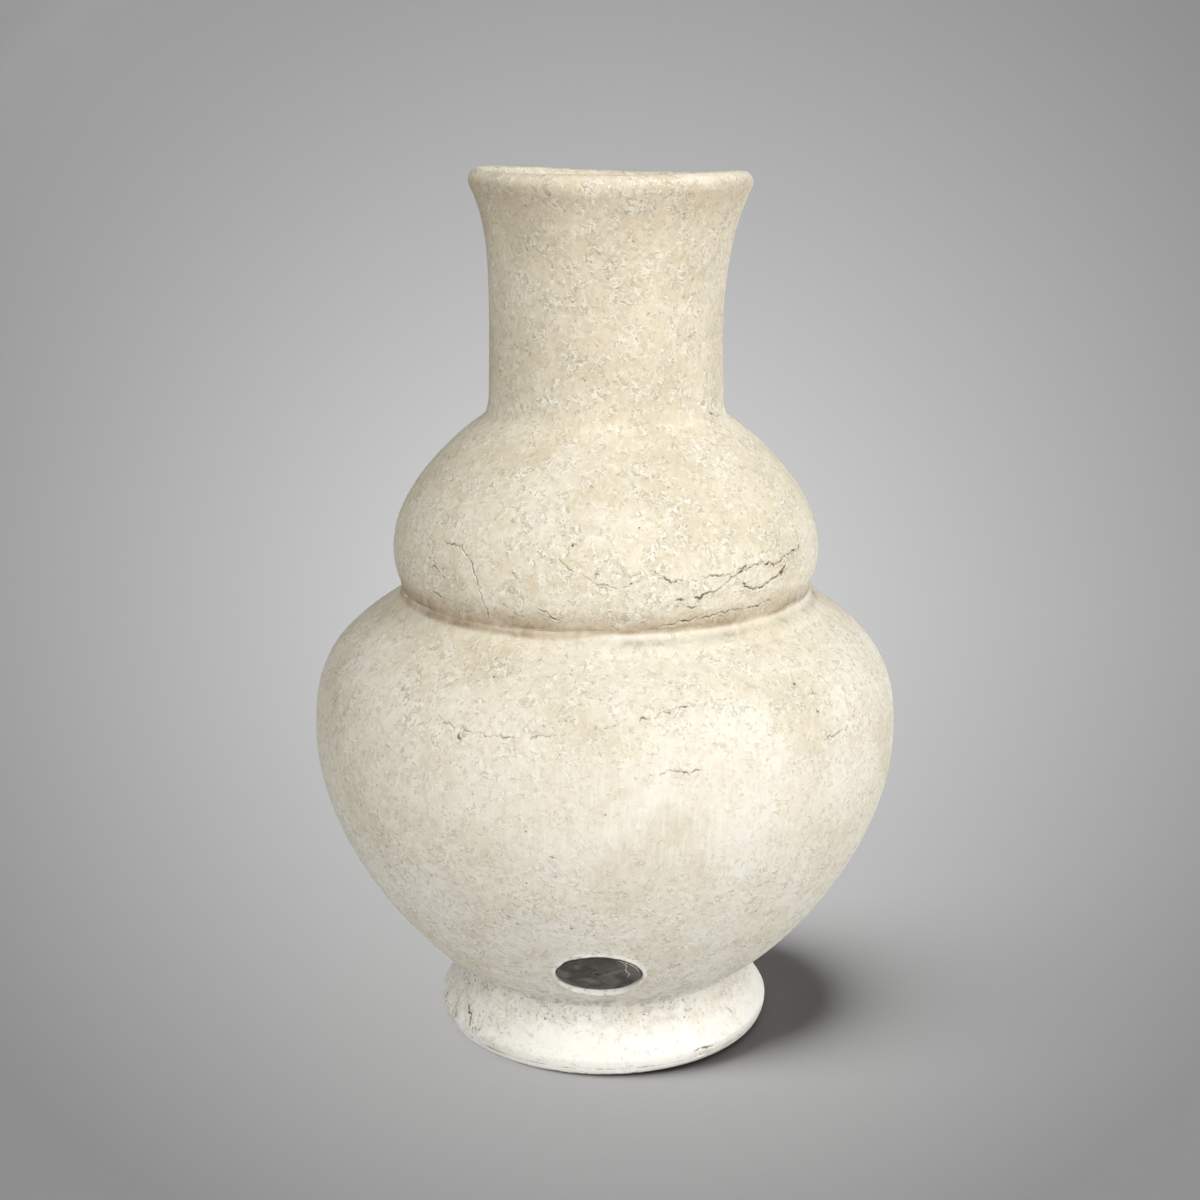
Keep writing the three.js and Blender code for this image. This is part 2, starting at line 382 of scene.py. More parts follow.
def calc(tree, operation, *values):
    return add(tree, "Math", dict(enumerate(values)), operation=operation).outputs[0]


def grain(tree, place, scale, detail=2.0, swirl=0.0):
    """Noise from 0 to 1 whose lumps are 1 / scale in size"""
    plugs = {"Vector": place, "Scale": scale, "Detail": detail, "Distortion": swirl}
    return add(tree, "TexNoise", plugs).outputs["Fac"]


def ramp(tree, value, low, high):
    """0 below low and 1 above high, with a soft step between"""
    plugs = {"Value": value, "From Min": low, "From Max": high}
    return add(tree, "MapRange", plugs, interpolation_type="SMOOTHSTEP").outputs["Result"]


def tint(tree, share, under, over):
    """The colour under with a share of the colour over it"""
    return add(tree, "Mix", {0: share, 6: under, 7: over}, data_type="RGBA").outputs[2]


def colour(red, green, blue):
    """An sRGB colour from 0 to 255, as the linear values that the shader takes"""
    channels = [value / 255 for value in (red, green, blue)]
    linear = [c / 12.92 if c <= 0.04045 else ((c + 0.055) / 1.055)**2.4 for c in channels]
    return (*linear, 1.0)


def new_group(name, plugs, results):
    """An empty shader group with named inputs, each (kind, value), and named outputs"""
    group = bpy.data.node_groups.new(name, "ShaderNodeTree")
    for plug, (kind, value) in plugs.items():
        socket = group.interface.new_socket(plug, in_out="INPUT", socket_type="NodeSocket" + kind)
        socket.default_value = value
    for result, kind in results.items():
        group.interface.new_socket(result, in_out="OUTPUT", socket_type="NodeSocket" + kind)
    start = group.nodes.new("NodeGroupInput")
    end = group.nodes.new("NodeGroupOutput")
    return group, start.outputs, end.inputs


def whitewash_group():
    """Lime wash rubbed over pulpy clay: a colour, a roughness and a height in millimetres. Per vertex
    it reads the wash's age, its stains, its grey, which is partly painted shade, and pits, how far it was
    brushed smooth, the cracks, and where it was wiped off"""
    group, given, result = new_group(
        "whitewash",
        {
            "Fresh": ("Color", colour(255, 254, 249)),
            "Aged": ("Color", colour(234, 223, 198)),
            "Shade": ("Color", colour(194, 182, 160)),
            "Fleck_and_highlight": ("Color", colour(255, 253, 241)),
            "Clay": ("Color", colour(178, 158, 130)),
            "Stain": ("Color", colour(168, 146, 116)),
            "Grey_and_shade": ("Color", colour(160, 156, 138)),
            "Soil": ("Color", colour(88, 71, 51)),
            "Relief": ("Float", 1.12),
            "Streaks": ("Float", 1.0),
        },
        {"Colour": "Color", "Roughness": "Float", "Height": "Float"},
    )
    place = add(group, "TexCoord").outputs["Object"]

    def shifted(*shift):
        return add(group, "VectorMath", {0: place, 1: shift}).outputs[0]

    def painted(name):
        return add(group, "Attribute", attribute_name=name).outputs["Fac"]

    def product(*values):
        total = values[0]
        for value in values[1:]:
            total = calc(group, "MULTIPLY", total, value)
        return total

    # Noises, from broad clouds of tone down to the pulp in the clay, and how rough each spot is
    tone = grain(group, place, 24, 2.0, 0.5)
    drift = grain(group, shifted(3, 1, 2), 75, 3.0, 0.8)
    patch = grain(group, shifted(7, 5, 9), 210, 3.0, 0.6)
    pulp = grain(group, place, 520, 4.0, 0.8)
    curl = grain(group, shifted(1, 8, 4), 400, 2.0, 0.7)
    tuft = ramp(group, grain(group, shifted(4, 6, 1), 200, 3.0, 0.5), 0.42, 0.58)
    smoothed = product(painted("brushed"), ramp(group, drift, 0.3, 0.55))
    busy = calc(group, "MULTIPLY_ADD", ramp(group, drift, 0.36, 0.62), 0.4, 0.6)
    strength = product(given["Relief"], busy, calc(group, "MULTIPLY_ADD", smoothed, -0.75, 1.0))

    def contour(value, level, width):
        aside = calc(group, "ABSOLUTE", calc(group, "SUBTRACT", value, level))
        return ramp(group, aside, width, 0.25 * width)

    # What the pulp leaves on the surface: fibres and grit that stand up, grooves and pores that are sunk.
    # Their colour is partly real pale flecks and partly painted light: painted highlight on the fibres and
    # grit, and painted shade in the grooves and pores beside them
    fibre = product(contour(curl, 0.52, 0.085), tuft, strength)
    groove = product(contour(curl, 0.4, 0.075), tuft, strength)
    grit = product(ramp(group, pulp, 0.52, 0.68), strength)
    pore = product(ramp(group, pulp, 0.46, 0.3), strength)

    # The wash, fresh to aged, then mottled, marked by the pulp with painted shade and highlight, brushed in
    # streaks, turned grey, partly as painted shade, and stained
    age = calc(group, "MULTIPLY_ADD", tone, 1.1, -0.55)
    age = calc(group, "ADD", age, calc(group, "MULTIPLY_ADD", patch, 0.6, -0.3))
    age = calc(group, "ADD", age, calc(group, "MULTIPLY_ADD", smoothed, -0.15, painted("age")))
    age = calc(group, "MINIMUM", calc(group, "MAXIMUM", age, 0.0), 1.3)
    wash = tint(group, age, given["Fresh"], given["Aged"])
    mottle = ramp(group, calc(group, "ADD", drift, patch), 0.8, 1.25)
    unbrushed = calc(group, "MULTIPLY_ADD", painted("brushed"), -0.75, 1.0)
    mottled = tint(group, product(mottle, unbrushed, 0.23), wash, given["Shade"])
    # Painted shade in the grooves and pores, then painted highlight on the fibres and grit
    sunk = calc(group, "MAXIMUM", product(groove, 0.6), product(pore, 0.36))
    sunk = tint(group, sunk, mottled, given["Shade"])
    raised = calc(group, "MAXIMUM", product(fibre, 0.75), product(grit, 0.45))
    raised = tint(group, raised, sunk, given["Fleck_and_highlight"])
    tall = add(group, "VectorMath", {0: place, 1: (1, 1, 0.09)}, operation="MULTIPLY").outputs[0]
    streak = ramp(group, grain(group, tall, 560, 2.0, 0.3), 0.42, 0.66)
    streak = product(streak, smoothed, given["Streaks"])
    streaked = tint(group, product(streak, 0.5), raised, given["Fleck_and_highlight"])
    stain = product(painted("stain"), calc(group, "MULTIPLY_ADD", patch, 0.8, 0.3))
    # The grey is real soil on the foot and the seam, and painted shade low on the belly and round the
    # foot's top
    greying_and_shade = ramp(group, calc(group, "ADD", drift, patch), 0.85, 1.15)
    greying_and_shade = calc(group, "MAXIMUM", greying_and_shade, calc(group, "MULTIPLY_ADD", painted("brushed"), 0.4, 0.3))
    greying_and_shade = product(painted("greyed_and_shaded"), greying_and_shade)
    clouded = product(ramp(group, tone, 0.5, 0.7), painted("age"), 0.12)
    greying_and_shade = calc(group, "MAXIMUM", greying_and_shade, clouded)
    greyed_and_shaded = tint(group, greying_and_shade, streaked, given["Grey_and_shade"])
    stained = tint(group, stain, greyed_and_shaded, given["Stain"])

    # Cracks with ragged edges, a light rim that is a painted highlight on their lifted lower edge and a
    # brown halo, and the pits and specks between them
    jag = calc(group, "MULTIPLY_ADD", grain(group, place, 1300, 3.0), 0.9, -0.45)
    side = painted("crack_side")
    from_crack = calc(group, "ABSOLUTE", calc(group, "ADD", side, jag))
    knots = calc(group, "MULTIPLY_ADD", grain(group, shifted(2, 2, 2), 330, 4.0), 4.8, -1.6)
    always_open = calc(group, "MULTIPLY_ADD", painted("crack_open"), 1.6, -0.3)
    knots = calc(group, "MAXIMUM", knots, always_open)
    opening = calc(group, "MAXIMUM", product(painted("crack_open"), knots), 0.001)
    gap = ramp(group, calc(group, "DIVIDE", from_crack, opening), 1.15, 0.55)
    # Painted highlight: a pale rim just below each crack, where its lifted edge would catch the light
    edge_place = calc(group, "ABSOLUTE", calc(group, "ADD", side, 0.75))
    edge = product(ramp(group, edge_place, 0.6, 0.1), ramp(group, opening, 0.05, 0.3))
    rim_highlit = tint(group, product(edge, 0.6), stained, given["Fleck_and_highlight"])
    halo = product(ramp(group, from_crack, 1.5, 0.2), ramp(group, painted("crack_open"), 0.1, 0.45))
    rim_highlit = tint(group, product(halo, 0.32), rim_highlit, given["Stain"])
    cell = add(group, "TexVoronoi", {"Vector": place, "Scale": 210.0})
    pitted = painted("pitted")
    chance = add(group, "SeparateColor", {0: cell.outputs["Color"]}).outputs[0]
    chosen = ramp(group, calc(group, "MULTIPLY_ADD", pitted, 0.5, chance), 0.965, 0.975)
    hole = product(ramp(group, cell.outputs["Distance"], 0.12, 0.05), chosen)
    sunken = calc(group, "MULTIPLY_ADD", painted("stain"), -0.05, pulp)
    sunken = calc(group, "MULTIPLY_ADD", pitted, -0.11, sunken)
    speck = ramp(group, sunken, 0.32, 0.26)
    speck = product(speck, calc(group, "MAXIMUM", product(strength, 0.4), product(pitted, 0.75)))
    dots = calc(group, "MAXIMUM", product(hole, 0.75), speck)
    gap = product(gap, ramp(group, opening, 0.05, 0.4))
    hairline = product(ramp(group, from_crack, 0.32, 0.1), ramp(group, painted("crack_open"), 0.02, 0.2))
    hairline = product(hairline, ramp(group, knots, 0.1, 0.7), 0.38)
    dark = calc(group, "MAXIMUM", product(gap, 0.72), calc(group, "MAXIMUM", hairline, dots))
    soiled = tint(group, dark, rim_highlit, given["Soil"])

    # Bare, sandy clay where the wash doesn't reach, behind a ragged edge
    ragged = calc(group, "ADD", painted("wash"), calc(group, "MULTIPLY_ADD", patch, 0.8, -0.4))
    cover = ramp(group, ragged, 0.35, 0.6)
    dark_sand = colour(120, 102, 80)
    sandy = ramp(group, grain(group, place, 900, 2.0), 0.55, 0.75)
    sand = tint(group, sandy, given["Clay"], dark_sand)
    group.links.new(tint(group, cover, sand, soiled), result["Colour"])
    group.links.new(calc(group, "MULTIPLY_ADD", patch, 0.2, 0.74), result["Roughness"])

    # The height of all of it, in millimetres
    bumps = product(pulp, strength, 0.3)
    bumps = calc(group, "MULTIPLY_ADD", fibre, 0.1, bumps)
    bumps = calc(group, "MULTIPLY_ADD", groove, -0.07, bumps)
    bumps = calc(group, "MULTIPLY_ADD", patch, 0.14, bumps)
    bumps = calc(group, "MULTIPLY_ADD", streak, 0.03, bumps)
    bumps = calc(group, "MULTIPLY_ADD", edge, 0.12, bumps)
    bumps = calc(group, "MULTIPLY_ADD", dark, -0.35, bumps)
    group.links.new(bumps, result["Height"])
    return group


whitewash = whitewash_group()


def washed_clay(name, **looks):
    """A matt material of whitewashed clay. Its looks can be given"""
    material = bpy.data.materials.new(name)
    material.use_nodes = True
    tree = material.node_tree
    tree.nodes.clear()
    given_looks = {look.capitalize(): value for look, value in looks.items()}
    wash = add(tree, "Group", given_looks, node_tree=whitewash)
    bump = add(tree, "Bump", {"Height": wash.outputs["Height"], "Distance": mm, "Strength": 1.0})
    clay = add(tree, "BsdfPrincipled", {
        "Base Color": wash.outputs["Colour"],
        "Roughness": wash.outputs["Roughness"],
        "Normal": bump.outputs["Normal"],
        "Specular IOR Level": 0.3,
    })
    add(tree, "OutputMaterial", {"Surface": clay.outputs["BSDF"]})
    return material


vase_clay = washed_clay("whitewashed_clay")
foot_low, foot_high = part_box("foot_ring")
foot_radius = foot_high.x
waist_radius = end_radius("foot_ring", True)
sole_radius = end_radius("foot_ring", False)
upright = (0, 1)
foot_edge = (foot_radius, foot_low.z + foot_edge_height)
waist = (waist_radius, foot_high.z)
foot_side = evenly(chain(
    stretch((sole_radius, foot_low.z), foot_edge, (0.75, 0.2), (1, 0.55)),
    stretch(foot_edge, waist, (0.3, 0.2), (1, 0.5)),
), foot_row)
foot_bore = evenly(np.array([
    (waist_radius - foot_wall, foot_high.z),
    (sole_radius - foot_wall, foot_low.z),
]), foot_bore_row)
foot_sole = evenly(np.array([
    (sole_radius - foot_wall, foot_low.z),
    (sole_radius, foot_low.z),
]), foot_sole_row)[1:-1]
rise = (foot_side[:, 1] - foot_low.z) / bare_edge
foot_wall_rings = np.vstack([
    rings(foot_side, np.clip(0.3 + rise, 0, 1), np.clip(rise, 0, 1), last=upright),
    rings(foot_bore, 0, 0),
    rings(foot_sole, 0, 0),
])
foot_mesh = throw("whitewashed_foot", foot_wall_rings)
foot_cracks = [
    crack([(-83, 21), (-81, 17), (-79, 12), (-76, 9)], 0.5, 0.8, 0.15, 0.3),
    crack([(-60, 17), (-55, 13), (-53, 9)], 0.55, 0.7, 0.15, 0.3),
    crack([(-66, 12), (-62, 9)], 0.5, 0.6, 0.1, 0.3),
    crack([(31, 8), (34, 8.5), (37.5, 7.5), (40, 7.5)], 0.55, 0.6, 0.15, 0.4),
    crack([(33, 5.5), (35, 4.5)], 0.5, 0.5, 0.1, 0.2),
    crack([(52, 20), (54, 14), (55, 9)], 0.3, 0.4, 0.1, 0.8),
    crack([(128, 14), (134, 12), (139, 14)], 0.45, 0.6, 0.15, 0.5),
    *(crack([(angle, height), (angle + 0.5, height)], 0.55, 0.6, 0.1, 0) for angle, height in [
        (-46, 17), (-41, 8), (0, 27), (8, 25.5), (32, 21), (38, 24), (26, 14), (6, 3.5), (-8, 3), (62, 22),
        (150, 20), (-120, 16), (-160, 10),
    ]),
]
refine(foot_mesh, np.vstack([follow(line, foot_side)[0] for line in foot_cracks]), foot_crack_reach, 2)
smooth_foot = press(foot_mesh)
open_cracks(foot_mesh, foot_cracks, foot_side)
foot_places = read_places(foot_mesh)
band_depth = band_cut * (0.8 + 0.6 * wander(foot_places, 18 * mm))
band = np.exp(-((smooth_foot[:, 2] - foot_low.z - band_height) / band_width)**2)
foot_places -= read_values(foot_mesh, "outward") * (band * band_depth)[:, None]
set_places(foot_mesh, foot_places)
foot_turn = np.degrees(np.arctan2(smooth_foot[:, 0], -smooth_foot[:, 1]))
foot_rise = (smooth_foot[:, 2] - foot_low.z) / mm
# Soil on the foot's left, and round its top soil with painted shade under the belly's overhang. Angles in
# degrees from the badge, heights in millimetres
soil_angle = -62
soil_half_width = 30
soil_low_fade = 6
soil_and_shade_top_start = 15
soil_and_shade_top_fade = 9
soiled_side = np.exp(-((foot_turn - soil_angle) / soil_half_width)**2)
soiled_side *= np.clip(foot_rise / soil_low_fade, 0, 1)
# Painted shade: the foot's top, under the belly, is stained and turned grey, besides its real specks
soil_and_shade_top = np.clip((foot_rise - soil_and_shade_top_start) / soil_and_shade_top_fade, 0, 1)
soiled = np.maximum(soiled_side, 0.75 * soil_and_shade_top)
soil_and_shade_here = soiled * np.clip(0.7 + wander(smooth_foot, 12 * mm), 0, 1.3)
give_values(foot_mesh, "stain", 0.1 * soil_and_shade_here)
give_values(foot_mesh, "greyed_and_shaded", 0.1 * soil_and_shade_here)
give_values(foot_mesh, "pitted", np.clip(soiled * (0.5 + 0.9 * wander(smooth_foot + 1, 9 * mm)), 0, 1))
give_values(foot_mesh, "brushed", np.clip(1.1 - 1.2 * soiled, 0, 1))
band_side = foot_rise - band_height / mm
band_open = 0.3 * np.clip(0.5 + 1.1 * wander(smooth_foot + 2, 9 * mm), 0, 1) * (abs(band_side) < crack_far)
band_open *= read_values(foot_mesh, "wash")
nearer = (abs(band_side) < abs(read_values(foot_mesh, "crack_side"))) & (band_open > 0)
give_values(foot_mesh, "crack_side", np.where(nearer, band_side, read_values(foot_mesh, "crack_side")))
give_values(foot_mesh, "crack_open", np.where(nearer, band_open, read_values(foot_mesh, "crack_open")))
shade_joints(foot_mesh, [(waist_radius, foot_high.z, upright)])
put_in_place(foot_mesh, vase_clay, "whitewashed_clay", "foot_ring")


# Belly: a thrown bowl of stoneware with a floor of its own, closed in to the crease. The whitewash was
# brushed down its front. Drying cracks run round the shoulder, and a round pocket is cut for the badge.
wall = 9 * mm
hidden_row = 9 * mm
flank_radius = 88 * mm
flank_height = 13.3 * mm
belly_row = 2.1 * mm
belly_widest_height = 119 * mm
floor_thickness = 11 * mm
floor_corner = 8 * mm
floor_corner_reach = 1.4 * floor_corner
floor_corner_row = 3 * mm
floor_row = 9 * mm
belly_crack_reach = 3.2 * mm
painted_shade_height = 26 * mm
painted_shade_most = 0.38
badge_sink = 1.3 * mm
pocket_clearance = 0.55 * mm
pocket_under_badge = 1.4 * mm
pocket_flare = 0.45 * mm
pocket_corner = 0.4 * mm
pocket_edge = 1.5 * mm
pocket_wobble = 0.012
pocket_steps = 160
crisp_reach = 3 * mm
crisp_angle = math.radians(50)
pocket_bank = 0.85 * mm
bank_reach = 4 * mm
bank_from_rim = 0.6 * mm
bank_width = 1.1 * mm


def seat_of(node):
    """Where a round CAD plate lies: a matrix whose Z points out of the clay from the plate's back, the
    plate's thickness and its radius"""
    corners = np.array([v.co for v in frame["nodes"][node].data.vertices])
    middle = corners.mean(axis=0)
    out = np.linalg.svd(corners - middle)[2][2]
    out *= -np.sign(out[1])
    depths = (corners - middle) @ out
    thickness = depths.max() - depths.min()
    across = np.cross((0, 0, 1), out)
    across /= np.linalg.norm(across)
    up = np.cross(out, across)
    sides = (corners - middle) @ across
    back = middle + out * depths.min() + across * (sides.max() + sides.min()) / 2
    seat = Matrix((across, up, out)).transposed().to_4x4()
    seat.translation = Vector(back)
    return seat, thickness, (sides.max() - sides.min()) / 2


badge_seat, badge_thickness, badge_radius = seat_of("badge_disc")
glue_seat, glue_thickness, glue_radius = seat_of("badge_glue")
pocket_radius = badge_radius + pocket_clearance
belly_low, belly_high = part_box("lower_body")
crease_radius = end_radius("lower_body", True)
crease_lean = (-0.77, 0.31)
flank = (flank_radius, belly_low.z + flank_height)
belly_widest = (belly_high.x, belly_low.z + belly_widest_height)
crease = (crease_radius, belly_high.z)
belly_outline = chain(
    stretch(waist, flank, (0, 0.36), (0.48, 0.44)),
    stretch(flank, belly_widest, (0.32, 0.15), (1, 0.55)),
    stretch(belly_widest, crease, (0, 0.51), (0.23, 0.69)),
)
belly_side = evenly(belly_outline, belly_row)
belly_inside = inset(evenly(belly_outline, hidden_row), wall)[::-1]
floor_top = belly_low.z + floor_thickness
belly_inside = belly_inside[belly_inside[:, 1] > floor_top + floor_corner]
corner_top = belly_inside[-1]
floor_edge = (corner_top[0] - floor_corner_reach, floor_top)
belly_bowl = np.vstack([
    [(crease_radius - joint_width, belly_high.z)],
    belly_inside[2:],
    evenly(stretch(corner_top, floor_edge, (0.3, 0.5), (0.6, 1)), floor_corner_row)[1:],
    evenly(np.array([floor_edge, (0, floor_top)]), floor_row)[1:],
])
belly_under = evenly(np.array([(0, belly_low.z), (waist_radius - foot_wall, belly_low.z)]), floor_row)
belly_mesh = throw("whitewashed_belly", np.vstack([
    rings(belly_under, 0, 0),
    rings(belly_side, 1, 1, first=upright, last=crease_lean),
    rings(belly_bowl, 0, 0),
]))
belly_cracks = [
    crack([(-34, 186), (-28, 185), (-21, 183), (-14, 184), (-7, 186)], 0.3, 0.8, 0.22, 0.65),
    crack([(-3, 188), (4, 191), (13, 194.5), (25, 196.5)], 0.28, 0.6, 0.18, 0.95),
    crack([(-27.5, 182.5), (-27, 179.5)], 0.5, 0.9, 0.1, 0),
    crack([(7, 170), (11, 171.5), (17, 170.5)], 0.25, 0.6, 0.2, 0.6),
    crack([(44, 173), (48, 174.5), (52, 174)], 0.28, 0.5, 0.15, 0.4),
    crack([(41, 197), (41.5, 196.5)], 0.6, 0.8, 0.1, 0),
    crack([(44, 185.5), (44.5, 184.5)], 0.5, 0.7, 0.1, 0),
    crack([(-26, 209.5), (-25.5, 209)], 0.55, 0.7, 0.1, 0),
    crack([(-10, 133.5), (-9, 133)], 0.45, 0.6, 0.15, 0),
    crack([(118, 190), (131, 187), (143, 191), (158, 186)], 0.3, 0.6, 0.2, 0.8),
    crack([(-140, 172), (-131, 175), (-122, 173)], 0.3, 0.6, 0.2, 0.7),
    crack([(172, 118), (178, 121), (185, 119)], 0.28, 0.5, 0.18, 0.6),
]
rim_height = badge_thickness + badge_sink
rim = np.array([
    badge_seat @ Vector((pocket_radius * math.cos(turn), pocket_radius * math.sin(turn), rim_height))
    for turn in np.linspace(0, 2 * math.pi, 200, endpoint=False)
])
crack_points = np.vstack([follow(line, belly_outline)[0] for line in belly_cracks])
refine(belly_mesh, np.vstack([crack_points, rim]), belly_crack_reach)
smooth_belly = press(belly_mesh)
open_cracks(belly_mesh, belly_cracks, belly_outline)


def patches(places, spots):
    """Soft-edged patches, each the angle of its middle from the badge and its height, then its half width
    and its half height. Angle and half width are in degrees, and the heights in millimetres"""
    turn = np.degrees(np.arctan2(places[:, 0], -places[:, 1]))
    height = places[:, 2] / mm
    share = np.zeros(len(places))
    for angle, middle, half_width, half_height in spots:
        aside = ((turn - angle + 180) % 360 - 180) / half_width
        share += np.exp(-aside**2 - ((height - middle) / half_height)**2)
    return np.clip(share, 0, 1)


def eased(share):
    """A share from 0 to 1 that starts and ends softly"""
    return share**2 * (3 - 2 * share)


brushed_spots = [(8, 150, 34, 34), (128, 140, 40, 38), (-112, 155, 36, 30)]
give_values(belly_mesh, "brushed", patches(smooth_belly, brushed_spots))
# Painted shade: the belly turns grey towards the foot, darker low down where its underside gets less light
shade_above_foot = np.clip(1 - (smooth_belly[:, 2] - belly_low.z) / painted_shade_height, 0, 1)
give_values(belly_mesh, "greyed_and_shaded", painted_shade_most * eased(shade_above_foot))


def in_seat(places, seat):
    """Places as (across, up, out of the clay) from a seat's middle"""
    inward = np.array(seat.inverted())
    return places @ inward[:3, :3].T + inward[:3, 3]


def bank_up(mesh, seat, radius, bank):
    """Raises the clay in an uneven bank round a pocket"""
    places = read_places(mesh)
    flat = in_seat(places, seat)
    from_rim = np.hypot(flat[:, 0], flat[:, 1]) - radius
    near = (abs(from_rim) < bank_reach) & (places[:, 1] < 0)
    uneven = 0.65 + 0.8 * wander(places[near], 4 * mm)
    swell = bank * np.clip(uneven, 0, 2) * np.exp(-((from_rim[near] - bank_from_rim) / bank_width)**2)
    places[near] += read_values(mesh, "outward")[near] * swell[:, None]
    set_places(mesh, places)


def cut_out(mesh, tool):
    """The mesh with the tool's space cut from it"""
    work = bpy.data.objects.new("clay_being_cut", mesh)
    knife = bpy.data.objects.new("knife", tool)
    bpy.context.scene.collection.objects.link(work)
    bpy.context.scene.collection.objects.link(knife)
    cut = work.modifiers.new("pocket", "BOOLEAN")
    cut.operation = "DIFFERENCE"
    cut.solver = "EXACT"
    cut.object = knife
    depsgraph = bpy.context.evaluated_depsgraph_get()
    left = bpy.data.meshes.new_from_object(work.evaluated_get(depsgraph))
    name = mesh.name
    bpy.data.objects.remove(work)
    bpy.data.objects.remove(knife)
    bpy.data.meshes.remove(mesh)
    left.name = name
    return left


bank_up(belly_mesh, badge_seat, pocket_radius, pocket_bank)
knife_height = badge_radius
pocket_outline = np.array([
    (0, -pocket_under_badge),
    (pocket_radius - pocket_corner, -pocket_under_badge),
    (pocket_radius, -pocket_under_badge + pocket_corner),
    (pocket_radius, badge_thickness),
    (pocket_radius + pocket_flare, rim_height),
    (pocket_radius + 4 * pocket_flare, knife_height),
    (0, knife_height),
])
pocket_mesh = throw("pocket", rings(pocket_outline, 1, 0), pocket_steps)
pocket_places = read_places(pocket_mesh)
wobble = 1 + pocket_wobble * wander(pocket_places, 9 * mm)
pocket_places[:, :2] *= wobble[:, None]
set_places(pocket_mesh, pocket_places)
pocket_mesh.transform(badge_seat)
pocket_mesh.shade_smooth()
belly_mesh.shade_smooth()
belly_mesh = cut_out(belly_mesh, pocket_mesh)

in_pocket = in_seat(read_places(belly_mesh), badge_seat)
cut_face = np.hypot(in_pocket[:, 0], in_pocket[:, 1]) < pocket_radius + 3 * pocket_flare
cut_face &= (in_pocket[:, 2] > -2 * pocket_under_badge) & (in_pocket[:, 2] < 2 * rim_height)
cut_wash = np.clip(in_pocket[:, 2] / mm + 0.6, 0, 1)
give_values(belly_mesh, "wash", np.where(cut_face, cut_wash, read_values(belly_mesh, "wash")))
# Painted highlight: round the pocket's rim and on its cut face the wash is set fresh and white with no
# grey, partly fresh wash and partly painted highlight where the rim catches the light
from_edge = abs(np.hypot(in_pocket[:, 0], in_pocket[:, 1]) - pocket_radius - pocket_flare) / pocket_edge
rim_highlight = np.clip(1 - from_edge, 0, 1) * (abs(in_pocket[:, 2] - rim_height) < 3 * mm)
off_rim_highlight = np.clip(1 - 3 * rim_highlight, 0, 1)
for value in ("age", "greyed_and_shaded"):
    give_values(belly_mesh, value, read_values(belly_mesh, value) * off_rim_highlight * ~cut_face)


def sharpen(mesh, seat, reach, angle):
    """Keeps the edges of a pocket crisp within reach of its seat"""
    work = bmesh.new()
    work.from_mesh(mesh)
    for edge in work.edges:
        if (edge.verts[0].co - seat.translation).length < reach and edge.is_manifold:
            edge.smooth = edge.calc_face_angle(0) < angle
    work.to_mesh(mesh)
    work.free()


sharpen(belly_mesh, badge_seat, pocket_radius + crisp_reach, crisp_angle)
shade_joints(belly_mesh, [
    (waist_radius, belly_low.z, upright),
    (crease_radius, belly_high.z, crease_lean),
])
put_in_place(belly_mesh, vase_clay, "whitewashed_clay", "lower_body")


# Bulb: a second, smaller body thrown as an open ring and set on the belly's shoulder. Its underside is
# browner, partly where the wash was wiped thin and partly painted shade under its overhang, and most of the
# drying cracks run round its lower half.
bulb_row = 1.15 * mm
bulb_edge_overhang = 2.9 * mm
bulb_edge_height = 6.8 * mm
bulb_widest_height = 21 * mm
bulb_crack_reach = 2.2 * mm
wiped_and_shaded_height = 4 * mm
wiped_and_shaded_fade = 10 * mm
wiped_stain_and_shade = 1.25
bulb_low, bulb_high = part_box("upper_body")
neck_base_radius = end_radius("upper_body", True)
bulb_edge = (crease_radius + bulb_edge_overhang, bulb_low.z + bulb_edge_height)
bulb_widest = (bulb_high.x, bulb_low.z + bulb_widest_height)
neck_base = (neck_base_radius, bulb_high.z)
neck_base_lean = (-0.74, 0.67)
bulb_foot_lean = (0.55, 0.45)
bulb_outline = chain(
    stretch(crease, bulb_edge, (0.55, 0.2), (0.93, 0.6)),
    stretch(bulb_edge, bulb_widest, (0.3, 0.2), (1, 0.5)),
    stretch(bulb_widest, neck_base, (0, 0.27), (0.28, 0.65)),
)
bulb_side = evenly(bulb_outline, bulb_row)
bulb_inside = np.vstack([
    [(neck_base_radius - joint_width, bulb_high.z)],
    inset(evenly(bulb_outline, hidden_row), wall)[::-1][2:-1],
    [(crease_radius - joint_width, bulb_low.z)],
])
bulb_mesh = throw("whitewashed_bulb", np.vstack([
    rings(bulb_side, 1, 1, first=bulb_foot_lean, last=neck_base_lean),
    rings(bulb_inside, 0, 0),
]))
